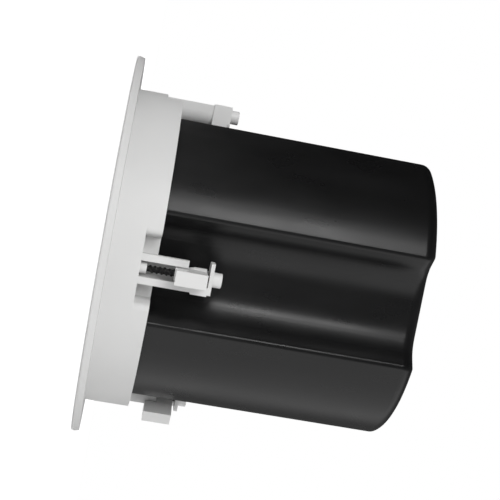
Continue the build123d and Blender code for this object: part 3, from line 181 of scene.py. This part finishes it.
# The floor under the speaker: pale card that the camera sees as white, with the speaker's soft shadow on it.
# Its own light grows away from the speaker and reaches the camera, mirrors and glass, but no matt surface.
FLOOR_HALF = 6.0
FLOOR_GLOW = 0.55
FLOOR_GLEAM = 0.25
GLOW_NEAR = 0.3
GLOW_FAR = 1.0
floor_mesh = bpy.data.meshes.new("floor")
floor_corners = FLOOR_HALF * np.array([(-1, -1, 0), (1, -1, 0), (1, 1, 0), (-1, 1, 0)])
floor_mesh.from_pydata(floor_corners.tolist(), [], [(0, 1, 2, 3)])
floor = bpy.data.objects.new("floor", floor_mesh)
bpy.context.scene.collection.objects.link(floor)
card = bpy.data.materials.new("floor_card")
card.use_nodes = True
card.node_tree.nodes.clear()
paper = Socket(card.node_tree)
seen, through, gloss = (
    paper.node("LightPath", output=f"Is {kind} Ray") for kind in ("Camera", "Transmission", "Glossy")
)
reach = paper.node("VectorMath", {"operation": "LENGTH"}, {0: paper.node("TexCoord", output="Object")}, 1)
glow_limits = {"From Min": GLOW_NEAR, "From Max": GLOW_FAR, "To Min": FLOOR_GLOW, "To Max": 1.0}
far = paper.node("MapRange", inputs={"Value": reach, **glow_limits})
level = (seen + through).math("MINIMUM", 1.0) * far + gloss * FLOOR_GLEAM
glow = paper.node("Emission", inputs={"Color": (*WHITE, 1), "Strength": level})
matt = paper.node("BsdfDiffuse", inputs={"Color": (0.86, 0.86, 0.86, 1)})
both = paper.node("AddShader", inputs={0: matt, 1: glow})
card.node_tree.links.new(both.link, card.node_tree.nodes.new("ShaderNodeOutputMaterial").inputs["Surface"])
floor_mesh.materials.append(card)


class Finish(Socket):
    """A surface's material: a Principled shader with its sockets set by name, on Object coordinates."""

    def __init__(self, name, **sockets):
        self.material = bpy.data.materials.new(name)
        self.material.use_nodes = True
        super().__init__(self.material.node_tree)
        self.shader = self.tree.nodes["Principled BSDF"]
        self.place = self.node("TexCoord", output="Object")
        self.axes = [self.node("SeparateXYZ", inputs={0: self.place}, output=side) for side in range(3)]
        self.set(**sockets)

    def set(self, **sockets):
        """Sets or links the shader's sockets by their names, with underscores for spaces."""
        for name, value in sockets.items():
            socket = self.shader.inputs[name.replace("_", " ")]
            if isinstance(value, Socket):
                self.tree.links.new(value.link, socket)
            else:
                socket.default_value = (*value, 1) if isinstance(value, tuple) else value

    def noise(self, per_mm, detail=3.0, stretch=(1.0, 1.0, 1.0), roughness=0.5):
        """Soft noise from 0 to 1 with about per_mm spots a millimetre, drawn out by stretch."""
        scaled = self.node("Mapping", inputs={"Vector": self.place, "Scale": stretch})
        settings = {"Vector": scaled, "Scale": per_mm * 1000.0, "Detail": detail, "Roughness": roughness}
        return self.node("TexNoise", inputs=settings)

    def range(self, value, low, high, to_low=0.0, to_high=1.0):
        """Stretches value so that low becomes to_low and high becomes to_high, and clamps it."""
        limits = {"From Min": low, "From Max": high, "To Min": to_low, "To Max": to_high}
        return self.node("MapRange", inputs={"Value": value, **limits})

    def lines(self, axis, spacing):
        """A sine from 0 to 1 along one axis, with a crest every spacing."""
        return (self.axes[axis] * (2 * np.pi / spacing)).math("SINE") * 0.5 + 0.5

    def bump(self, height, millimetres, under=None, strength=1.0):
        """Tilts the surface by a height from 0 to 1 that stands that many millimetres high."""
        inputs = {"Height": height, "Distance": millimetres / 1000.0, "Strength": strength}
        if under:
            inputs["Normal"] = under
        return self.node("Bump", inputs=inputs)

    def paint(self, *nodes):
        """Gives this finish to CAD nodes."""
        for name in nodes:
            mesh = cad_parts[name].data
            mesh.materials.clear()
            mesh.materials.append(self.material)


def moulded(name, colour, tint, roughness, grain_mm):
    """Moulded plastic: an even colour with a faint flow mottle, spark-eroded grain, and uneven gloss."""
    finish = Finish(name)
    flow = finish.noise(0.02, 2.0)
    grain = finish.noise(1.6, 2.0)
    rub = finish.range(finish.noise(0.06, 4.0), 0.35, 0.7)
    finish.set(
        Base_Color=finish.range(flow, 0.3, 0.7).mix(colour, tint),
        Roughness=finish.range(rub, 0.0, 1.0, roughness - 0.05, roughness + 0.07),
        Normal=finish.bump(grain, grain_mm),
    )
    return finish


# The front frame: bezel, collar, clamp bays and screw towers in one injection-moulded piece of white plastic
# with a fine matt grain. The clamp dogs and screw caps are the same plastic from smoother tools.
frame_white = moulded("frame_white", (0.80, 0.80, 0.795), (0.775, 0.775, 0.77), 0.48, 0.012)
frame_white.paint("front_frame")
dog_white = moulded("dog_white", (0.83, 0.83, 0.825), (0.81, 0.81, 0.805), 0.36, 0.006)
dog_white.paint(*(f"{kind}_{number}" for kind in ("clamp_dog", "screw_cap") for number in range(1, 5)))


# The clamp screws: long blackened steel screws with a coarse thread between the shelf and the end plate.
# The thread stands on the screw's core as a ridge with a narrow crest, and has the pitch of the dog's travel.
PITCH = 0.0029
THREAD_ROOT = 0.00178
THREAD_SINK = 0.0002
THREAD_CREST = 0.0024
CREST_SHARE = 0.10
ROOT_SHARE = 0.42
THREAD_START = 0.0286
THREAD_END = 0.0644
FADE_TURNS = 0.5
LEAST_RISE = 0.05
STEPS_A_TURN = 24
SCREW_CIRCLE = 0.0975
SHARP_DEGREES = 35


def add_piece(name, points, faces, finish, slot, body=None):
    """Makes a mesh object from points and faces in row coordinates. It rides on a body if one is named."""
    mesh = bpy.data.meshes.new(name)
    mesh.from_pydata(points.reshape(-1, 3).tolist(), [], faces)
    mesh.shade_smooth()
    mesh.set_sharp_from_angle(angle=np.radians(SHARP_DEGREES))
    mesh.materials.append(finish.material)
    piece = bpy.data.objects.new(name, mesh)
    bpy.context.scene.collection.objects.link(piece)
    if body:
        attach(piece, body)
    return piece


def grid_faces(rows, columns):
    """Quads between neighbouring rows of a grid of points, with the columns closed into a ring."""
    first, column = np.meshgrid(np.arange(rows - 1) * columns, np.arange(columns), indexing="ij")
    after = (column + 1) % columns
    corners = (first + column, first + after, first + columns + after, first + columns + column)
    return np.stack(corners, axis=-1).reshape(-1, 4).tolist()


def thread_ridge(centre):
    """A helix of thread: a trapezoid from root to crest is carried round and up by one pitch a turn.
    The ridge rises evenly from nearly nothing over the first half turn and falls likewise over the last."""
    turns = (THREAD_END - THREAD_START) / PITCH
    count = int(turns * STEPS_A_TURN)
    along = np.linspace(0, turns, count)
    rise = np.clip(np.minimum(along, turns - along) / FADE_TURNS, LEAST_RISE, 1)
    angle = 2 * np.pi * along
    foot = THREAD_ROOT - THREAD_SINK
    radial = np.array([foot, THREAD_CREST, THREAD_CREST, foot])
    axial = np.array([ROOT_SHARE, CREST_SHARE, -CREST_SHARE, -ROOT_SHARE]) * PITCH
    reach = foot + (radial - foot) * rise[:, None]
    height = THREAD_START + PITCH * along[:, None] + axial
    x = centre[0] + reach * np.cos(angle)[:, None]
    y = centre[1] + reach * np.sin(angle)[:, None]
    faces = grid_faces(count, 4)
    faces += [[3, 2, 1, 0], [4 * count - 4 + corner for corner in range(4)]]
    return np.stack([x, y, height], axis=-1), faces


black_screw = Finish("black_screw", Metallic=0.85)
worn = black_screw.range(black_screw.noise(0.9, 4.0), 0.45, 0.75)
black_screw.set(
    Base_Color=worn.mix((0.022, 0.022, 0.023), (0.075, 0.073, 0.070)),
    Roughness=black_screw.range(black_screw.noise(0.5, 3.0), 0.3, 0.7, 0.30, 0.50),
    Normal=black_screw.bump(black_screw.noise(2.2, 2.0), 0.004),
)
black_screw.paint(*(f"clamp_screw_{number}" for number in range(1, 5)))
screw_places = {
    1: ("near_screw", (0.0, -SCREW_CIRCLE)),
    2: ("bottom_screw", (SCREW_CIRCLE, 0.0)),
    3: ("far_screw", (0.0, SCREW_CIRCLE)),
    4: ("top_screw", (-SCREW_CIRCLE, 0.0)),
}
for number, (body, centre) in screw_places.items():
    add_piece(f"clamp_thread_{number}", *thread_ridge(centre), black_screw, "black_screw", body)


# The dogs' threaded inserts: turned from brass bar and knurled where the plastic grips them.
# Each is pressed into its dog and runs on the screw, so it carries the clamp's whole load.
insert_brass = Finish("insert_brass", Metallic=1.0)
tarnish = insert_brass.range(insert_brass.noise(0.3, 4.0), 0.35, 0.7)
insert_brass.set(
    Base_Color=tarnish.mix((0.62, 0.43, 0.17), (0.50, 0.33, 0.13)),
    Roughness=insert_brass.range(insert_brass.noise(1.5, 2.0, (1, 1, 8)), 0.3, 0.7, 0.22, 0.40),
    Normal=insert_brass.bump(insert_brass.noise(3.0, 1.0, (0.2, 0.2, 3.0)), 0.004),
)
insert_brass.paint(*(f"clamp_nut_{number}" for number in range(1, 5)))


# The back can: one deep black plastic moulding with a satin skin, streaked along its draw and rubbed in use.
# It has sunk in its hollows and rounded over its ridges. sink is that height by the distance across from the
# middle of the nearest notch: up two parabolas that meet at the bend in one slope, then down to the lobe.
can_black = Finish("can_black", Specular_IOR_Level=0.5)
streak = can_black.range(can_black.noise(0.035, 3.0, (1.0, 1.0, 0.25)), 0.3, 0.75)
skin = can_black.noise(1.1, 3.0)
SINK_MM = 6.0
SINK_REACH_MM = 46.0
FOOT_MM, BEND_MM, BROW_MM = 4.0, 17.5, 26.0
BEND_SLOPE = 0.51
CAN_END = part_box("back_can")[1][2]
FADE_START = CAN_END - 0.0080
FADE_END = CAN_END - 0.0025
out_mm = np.arange(FOOT_MM, BROW_MM + 0.1, 2.0)
foot_side = BEND_SLOPE * (out_mm - FOOT_MM) ** 2 / (2 * (BEND_MM - FOOT_MM))
brow_side = BEND_SLOPE * ((BROW_MM - FOOT_MM) / 2 - (BROW_MM - out_mm) ** 2 / (2 * (BROW_MM - BEND_MM)))
rising = np.where(out_mm < BEND_MM, foot_side, brow_side)
lobe = [(28.0, 5.61), (30.0, 5.45), (32.0, 5.05), (34.0, 4.92), (36.0, 5.00), (38.0, 5.02), (44.0, 5.02)]
sink_stops = [(out / SINK_REACH_MM, up / SINK_MM) for out, up in [(0.0, 0.0), *zip(out_mm, rising), *lobe]]
from_notch = can_black.axes[0].math("ABSOLUTE").math("MINIMUM", can_black.axes[1].math("ABSOLUTE"))
sink = can_black.node(
    "ValToRGB", {"stops": sink_stops, "curve": "B_SPLINE"}, {0: from_notch / (SINK_REACH_MM / 1000)}
)
wall = can_black.range(can_black.axes[2], FADE_START, FADE_END, 1.0, 0.0)
can_black.set(
    Base_Color=streak.mix((0.0045, 0.0045, 0.0047), (0.0080, 0.0080, 0.0083)),
    Roughness=can_black.range(can_black.noise(0.05, 4.0, (1.0, 1.0, 0.5)), 0.3, 0.75, 0.26, 0.34),
    Normal=can_black.bump(skin, 0.010, can_black.bump(sink, SINK_MM, strength=wall)),
)
can_black.paint("back_can")


# The gaskets: closed-cell foam, cut from sheet and glued on. One seals the can's flange against the frame,
# and one lies over the edge of the woofer's surround.
CELLS_A_METRE = 1400.0
foam = Finish("gasket_foam", Roughness=0.95)
cells = foam.node("TexVoronoi", inputs={"Vector": foam.place, "Scale": CELLS_A_METRE})
foam.set(
    Base_Color=foam.range(cells, 0.0, 0.6).mix((0.012, 0.012, 0.012), (0.045, 0.045, 0.045)),
    Normal=foam.bump(cells, 0.15),
)
foam.paint("can_gasket", "woofer_gasket")


# The grille: punched sheet steel with a white powder coat, its rim folded back to the bezel's ledge.
# Every hole is cut through the sheet. The holes stand in a hexagonal lattice inside a plain border.
HOLE_PITCH = 0.0031
HOLE_RADIUS = 0.00108
PERFORATED_RADIUS = 0.1115
grille_low, grille_high = (np.array(corner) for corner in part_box("grille"))
SHEET = 0.001
FOLD_STEPS = 6
RING_POINTS = 240
LATTICE_REACH = 1.3
SAME_POINT = 1e-9
SAME_DIGITS = 6


def hexagon(centres, radius):
    """The corners of a hexagon round each centre, listed anticlockwise, with a corner on +Y."""
    angle = np.pi / 6 + np.arange(6) * np.pi / 3
    return centres[:, None] + radius * np.stack([np.cos(angle), np.sin(angle)], axis=-1)


def lattice(i, j):
    """The point i pitches along X and j pitches along a line that leans 60 degrees from it."""
    return HOLE_PITCH * np.stack([i + j / 2, j * np.sqrt(3) / 2], axis=-1)


def perforated(spots):
    """True where the nearest point of the lattice is a hole's centre. Its place is found by rounding a spot's
    three lattice coordinates, which add up to nothing, and correcting the one that moved most."""
    j = spots[:, 1] / (HOLE_PITCH * np.sqrt(3) / 2)
    i = spots[:, 0] / HOLE_PITCH - j / 2
    exact = np.stack([i, j, -i - j], axis=-1)
    near = np.round(exact)
    near[np.arange(len(spots)), np.abs(near - exact).argmax(axis=1)] -= near.sum(axis=1)
    return np.hypot(*lattice(near[:, 0], near[:, 1]).T) < PERFORATED_RADIUS


def perforated_dish():
    """The flat sheet is a lattice of hexagonal cells, each with a hole, joined to a ring by plain triangles.
    The fold is a quarter circle, the rim is straight, and the back repeats the front a sheet behind."""
    reach = int(PERFORATED_RADIUS / HOLE_PITCH * LATTICE_REACH)
    i, j = np.meshgrid(np.arange(-reach, reach + 1), np.arange(-reach, reach + 1))
    centres = lattice(i, j).reshape(-1, 2)
    centres = centres[np.hypot(*centres.T) < PERFORATED_RADIUS]
    cells = hexagon(centres, HOLE_PITCH / np.sqrt(3)).reshape(-1, 2)
    _, first, cell = np.unique(np.round(cells, SAME_DIGITS), axis=0, return_index=True, return_inverse=True)
    cell = cell.reshape(-1, 6)
    shared = cells[first]
    hole = len(shared) + np.arange(len(cells)).reshape(-1, 6)
    hole_after = np.roll(hole, -1, axis=1)
    cell_after = np.roll(cell, -1, axis=1)
    web = np.stack([cell, cell_after, hole_after, hole], axis=-1).reshape(-1, 4)

    sides = np.sort(np.stack([cell, cell_after], axis=-1).reshape(-1, 2), axis=1)
    sides, times = np.unique(sides, axis=0, return_counts=True)
    used, border = np.unique(sides[times == 1], return_inverse=True)
    around = np.arange(RING_POINTS)
    after = np.roll(around, -1)
    angle = 2 * np.pi * around / RING_POINTS
    ring = np.stack([np.cos(angle), np.sin(angle)], axis=-1)
    flat_radius = grille_high[0] - SHEET
    outline = np.concatenate([shared[used], flat_radius * ring])
    edges = np.concatenate([border.reshape(-1, 2), len(used) + np.stack([around, after], axis=-1)])
    made = delaunay_2d_cdt(outline.tolist(), edges.tolist(), [], 1, SAME_POINT)
    origin = np.array([source[0] for source in made[3]])
    plain = origin[np.array([face for face in made[2] if len(face) == 3])]
    plain = plain[~perforated(outline[plain].mean(axis=1))]
    turn = np.cross(outline[plain[:, 1]] - outline[plain[:, 0]], outline[plain[:, 2]] - outline[plain[:, 0]])
    plain[turn < 0] = plain[turn < 0][:, ::-1]
    ring_first = len(shared) + len(cells)
    plain = np.concatenate([used, ring_first + around])[plain]

    flat = np.concatenate([shared, hexagon(centres, HOLE_RADIUS).reshape(-1, 2), flat_radius * ring])
    count = len(flat)
    front = grille_low[2]
    fold = np.linspace(0, np.pi / 2, FOLD_STEPS + 1)[1:]
    profile = [(flat_radius + SHEET * np.sin(a), front + SHEET * (1 - np.cos(a))) for a in fold]
    profile += [(grille_high[0], grille_high[2]), (flat_radius, grille_high[2])]
    levels = [(flat, front), (flat, front + SHEET)] + [(radius * ring, z) for radius, z in profile]
    points = np.concatenate([np.column_stack([place, np.full(len(place), z)]) for place, z in levels])
    rows = [ring_first, *(2 * count + step * RING_POINTS for step in range(len(profile))), count + ring_first]
    walls = [np.stack([hole, hole + count, hole_after + count, hole_after], axis=-1).reshape(-1, 4)]
    walls += [
        np.stack([lower + around, lower + after, upper + after, upper + around], axis=-1)
        for lower, upper in zip(rows, rows[1:])
    ]
    faces = []
    for part in (web[:, ::-1], web + count, plain[:, ::-1], plain + count, *walls):
        faces += part.tolist()
    return points, faces


grille_white = Finish("grille_white", Roughness=0.5)
peel = grille_white.noise(0.8, 3.0)
cloud = grille_white.range(grille_white.noise(0.03, 2.0), 0.3, 0.7)
grille_white.set(
    Base_Color=cloud.mix((0.80, 0.80, 0.79), (0.77, 0.77, 0.76)),
    Roughness=grille_white.range(peel, 0.3, 0.7, 0.42, 0.58),
    Normal=grille_white.bump(peel, 0.012),
)
grille_sheet = add_piece("grille_sheet", *perforated_dish(), grille_white, "white_grille", "housing")
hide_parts("grille")


# The grille's magnets: discs with bright nickel plate, sunk into the bezel's ledge behind the grille.
# The tweeter's own magnet is a disc of the same kind.
nickel = Finish("nickel_plate", Metallic=1.0, Base_Color=(0.62, 0.60, 0.57))
nickel.set(
    Roughness=nickel.range(nickel.noise(0.4, 4.0), 0.3, 0.7, 0.12, 0.28),
    Normal=nickel.bump(nickel.noise(1.2, 2.0), 0.003),
)
nickel.paint("grille_magnets", "tweeter_magnet")


# Zinc-plated steel: the small screws, the motor's plates, the tweeter's post and the transformer's strap.
# The plating is faintly yellow and blue in patches, over the fine rings or rolls of the metal below.
zinc = Finish("zinc_plate", Metallic=1.0)
patch = zinc.range(zinc.noise(0.08, 4.0), 0.35, 0.68)
zinc.set(
    Base_Color=patch.mix((0.56, 0.56, 0.54), (0.60, 0.57, 0.47)),
    Roughness=zinc.range(zinc.noise(0.25, 4.0), 0.3, 0.7, 0.28, 0.46),
    Normal=zinc.bump(zinc.noise(1.5, 2.0, (1, 1, 0.15)), 0.006),
)
zinc.paint(
    "can_screws", "woofer_screws", "cup_screws", "board_screws", "transformer_screws", "transformer_strap",
    "top_plate", "yoke", "tweeter_post", "tweeter_plate",
)


# The woofer's basket: pressed from sheet steel, with thin black paint and the paint's orange peel.
# It is screwed to the frame from the front and carries the magnet behind it.
basket_black = Finish("basket_black", Specular_IOR_Level=0.5)
peel = basket_black.noise(0.5, 2.0)
basket_black.set(
    Base_Color=basket_black.range(peel, 0.3, 0.7).mix((0.014, 0.014, 0.015), (0.022, 0.022, 0.022)),
    Roughness=basket_black.range(basket_black.noise(0.06, 3.0), 0.3, 0.7, 0.30, 0.45),
    Normal=basket_black.bump(peel, 0.02),
)
basket_black.paint("woofer_basket")


# The magnet ring: sintered ferrite, dark grey and dull, with pores and ground faces.
# It is glued between the top plate and the yoke.
ferrite = Finish("ferrite", Metallic=0.3)
pores = ferrite.range(ferrite.noise(0.9, 5.0), 0.42, 0.60)
ferrite.set(
    Base_Color=pores.mix((0.022, 0.022, 0.024), (0.050, 0.050, 0.052)),
    Roughness=ferrite.range(pores, 0.0, 1.0, 0.75, 0.55),
    Normal=ferrite.bump(pores, 0.03),
)
ferrite.paint("magnet_ring")


# The woofer's cone: pressed paper pulp with a black coating, whose fibres stay visible.
# It is glued to the surround at its edge and to the voice coil at its neck.
cone_paper = Finish("cone_paper", Sheen_Weight=0.15)
fibres = cone_paper.noise(0.5, 6.0, (1.0, 1.0, 1.0), 0.7)
cone_paper.set(
    Base_Color=cone_paper.range(fibres, 0.35, 0.7).mix((0.018, 0.018, 0.018), (0.040, 0.040, 0.039)),
    Roughness=cone_paper.range(fibres, 0.3, 0.7, 0.85, 0.65),
    Normal=cone_paper.bump(fibres, 0.06),
)
cone_paper.paint("cone")


# The surround: a half roll of moulded rubber between two flat lips, black and matt, with a bloom.
# The outer lip is glued to the basket and the inner one to the cone, and the roll flexes between them.
rubber = Finish("surround_rubber")
bloom = rubber.range(rubber.noise(0.12, 4.0), 0.4, 0.75)
rubber.set(
    Base_Color=bloom.mix((0.016, 0.016, 0.016), (0.032, 0.032, 0.033)),
    Roughness=rubber.range(bloom, 0.0, 1.0, 0.55, 0.72),
    Normal=rubber.bump(rubber.noise(1.4, 2.0), 0.01),
)
ROLL_OUTER = 0.0706
ROLL_INNER = 0.0606
LIP = 0.0034
RUBBER = 0.0006
SEAT = 0.0128
AROUND = 192
ROLL_POINTS = 25


def revolved(name, outline, finish, slot):
    """A ring: a closed outline of (radius, height) pairs, listed clockwise, is carried round the +Z axis."""
    angle = 2 * np.pi * np.arange(AROUND) / AROUND
    radius, height = np.asarray(outline)[::-1].T
    x = radius[:, None] * np.cos(angle)
    y = radius[:, None] * np.sin(angle)
    points = np.stack([x, y, np.broadcast_to(height[:, None], x.shape)], axis=-1)
    closed = np.concatenate([points, points[:1]])
    faces = np.array(grid_faces(len(closed), AROUND)) % (len(points) * AROUND)
    return add_piece(name, points, faces.tolist(), finish, slot)


def hang(ring, fixed_radius, moving_radius):
    """Bakes the ring's place into its points and works out its share of the cone's motion, which it does not
    keep:
    none outside fixed_radius, all inside moving_radius, between them three squares less two cubes of the way
    in."""
    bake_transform(ring)
    places = np.empty(3 * len(ring.data.vertices))
    ring.data.vertices.foreach_get("co", places)
    radius = np.hypot(*places.reshape(-1, 3)[:, :2].T)
    share = np.clip((fixed_radius - radius) / (fixed_radius - moving_radius), 0, 1)
    share = share**2 * (3 - 2 * share)


# The roll is a half circle in front and one that is smaller by the rubber's thickness behind it.
roll_middle = (ROLL_OUTER + ROLL_INNER) / 2
roll_radius = (ROLL_OUTER - ROLL_INNER) / 2
sweep = np.linspace(0, np.pi, ROLL_POINTS)
half_circle = np.stack([np.cos(sweep), -np.sin(sweep)], axis=-1)
front_of_roll = roll_radius * half_circle + (roll_middle, SEAT)
back_of_roll = (roll_radius - RUBBER) * half_circle[::-1] + (roll_middle, SEAT)
front_of_roll[[0, -1], 1] = SEAT - RUBBER
surround_outline = np.concatenate([
    [(ROLL_OUTER + LIP, SEAT), (ROLL_OUTER + LIP, SEAT - RUBBER)],
    front_of_roll,
    [(ROLL_INNER - LIP, SEAT - RUBBER), (ROLL_INNER - LIP, SEAT)],
    back_of_roll,
])
surround_ring = revolved("surround_ring", surround_outline, rubber, "rubber")
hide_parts("surround")
hang(surround_ring, ROLL_OUTER, ROLL_INNER)


# The spider: a disc of open cotton weave, stiffened with amber resin and pressed into waves. It is glued to
# the basket's ledge and to the voice coil. Warp and weft are sine ridges at right angles, and the cloth's
# colour is painted shade, darker in the hollows between them.
THREAD_SPACING = 0.0007
spider_cloth = Finish("spider_cloth", Roughness=0.8)
weave = spider_cloth.lines(0, THREAD_SPACING) * spider_cloth.lines(1, THREAD_SPACING)
spider_cloth.set(
    # Painted shade: the colour darkens in the hollows between the threads, where the bump is low.
    Base_Color=weave.mix((0.30, 0.17, 0.045), (0.52, 0.34, 0.11)),
    Normal=spider_cloth.bump(weave, 0.12),
)
CLOTH = 0.0005
SPIDER_OUTER = 0.0498
SPIDER_BORE = 0.01962
WAVES_OUTER = 0.0420
WAVES_INNER = 0.0226
WAVES = 4
WAVE_HALF = 0.0008
LEDGE = 0.041
SPIDER_POINTS = 121
# The back of the cloth is a cosine of the way gone inwards, and its front lies one thickness further forward.
radius = np.linspace(SPIDER_OUTER, SPIDER_BORE, SPIDER_POINTS)
wave = np.clip((WAVES_OUTER - radius) / (WAVES_OUTER - WAVES_INNER), 0, 1)
back = LEDGE - WAVE_HALF * (1 - np.cos(2 * np.pi * WAVES * wave))
spider_outline = np.stack([np.append(radius, radius[::-1]), np.append(back - CLOTH, back[::-1])], axis=-1)
spider_ring = revolved("spider_ring", spider_outline, spider_cloth, "spider_cloth")
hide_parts("spider")
hang(spider_ring, WAVES_OUTER, WAVES_INNER)


# Enamelled copper wire: the voice coil and the crossover's air coil, both wound round an axis along +Z.
# The turns are a sine along that axis, one crest a wire, and the colour is painted shade in the grooves
# between turns.
WIRE_SPACING = 0.0005
copper = Finish("copper_wire", Metallic=0.9)
turns = copper.lines(2, WIRE_SPACING)
copper.set(
    # Painted shade: the colour darkens in the grooves between the turns, where the bump is low.
    Base_Color=turns.mix((0.30, 0.10, 0.035), (0.68, 0.30, 0.13)),
    Roughness=copper.range(copper.noise(0.3, 3.0), 0.3, 0.7, 0.25, 0.40),
    Normal=copper.bump(turns, 0.08),
)
copper.paint("voice_coil", "crossover_coil")


# Small black plastic mouldings inside and in the rear wall: the tweeter's housing and horn, the tap switch
# and its knob, and the terminal cup. They have a finer grain than the frame.
small_black = moulded("small_black", (0.014, 0.014, 0.015), (0.020, 0.020, 0.021), 0.42, 0.008)
small_black.paint("tweeter_housing", "tweeter_horn", "tap_switch", "tap_knob", "terminal_cup")


# The tweeter's dome: silk with a fine weave, coated and pressed to shape.
# Its flat edge is glued to the tweeter's plate.
WEAVE_A_METRE = 2600.0
dome_silk = Finish("dome_silk", Sheen_Weight=0.25)
silk = dome_silk.node("TexVoronoi", inputs={"Vector": dome_silk.place, "Scale": WEAVE_A_METRE})
dome_silk.set(
    Base_Color=dome_silk.range(silk, 0.0, 0.6).mix((0.020, 0.020, 0.024), (0.045, 0.045, 0.052)),
    Roughness=dome_silk.range(silk, 0.0, 0.6, 0.45, 0.65),
    Normal=dome_silk.bump(silk, 0.03),
)
dome_silk.paint("tweeter_dome")


# The terminal block: green moulded plastic with open screw wells.
# It stands in the terminal cup and takes the ends of the speaker line.
block_green = moulded("block_green", (0.030, 0.190, 0.060), (0.026, 0.165, 0.052), 0.38, 0.008)
block_green.paint("terminal_block")


# The crossover: a brown phenolic board with paper fibres, held by four screws, and capacitors that are wound
# from film and wrapped in amber tape.
board_brown = Finish("board_phenolic")
fibre = board_brown.range(board_brown.noise(0.18, 5.0, (1.0, 5.0, 1.0)), 0.35, 0.7)
board_brown.set(
    Base_Color=fibre.mix((0.16, 0.085, 0.030), (0.22, 0.125, 0.048)),
    Roughness=board_brown.range(fibre, 0.0, 1.0, 0.38, 0.52),
    Normal=board_brown.bump(fibre, 0.01),
)
board_brown.paint("crossover_board")
film = Finish("capacitor_film", Coat_Weight=0.6)
wrinkle = film.noise(0.25, 3.0, (1.0, 0.3, 1.0))
film.set(
    Base_Color=film.range(wrinkle, 0.3, 0.7).mix((0.42, 0.20, 0.020), (0.50, 0.26, 0.035)),
    Roughness=film.range(wrinkle, 0.3, 0.7, 0.18, 0.30),
    Normal=film.bump(wrinkle, 0.06),
)
film.paint("crossover_capacitors")


# The line transformer: a stack of thin steel sheets, seen on edge as fine lines with specks of rust, round a
# winding under yellow tape. A strap holds it down.
SHEET_SPACING = 0.0005
sheets = Finish("core_sheets", Metallic=0.9)
edge = sheets.lines(1, SHEET_SPACING)
rust = sheets.range(sheets.noise(0.1, 4.0), 0.5, 0.75)
sheets.set(
    Base_Color=rust.mix(edge.mix((0.10, 0.10, 0.105), (0.26, 0.26, 0.27)), (0.16, 0.11, 0.08)),
    Roughness=sheets.range(edge, 0.0, 1.0, 0.55, 0.35),
    Normal=sheets.bump(edge, 0.03),
)
sheets.paint("transformer_core")
tape = Finish("winding_tape", Coat_Weight=0.2)
layers = tape.noise(0.15, 4.0, (1.0, 1.0, 4.0))
tape.set(
    Base_Color=tape.range(layers, 0.3, 0.7).mix((0.60, 0.46, 0.10), (0.50, 0.37, 0.075)),
    Roughness=tape.range(layers, 0.3, 0.7, 0.30, 0.45),
    Normal=tape.bump(layers, 0.05),
)
tape.paint("transformer_winding")
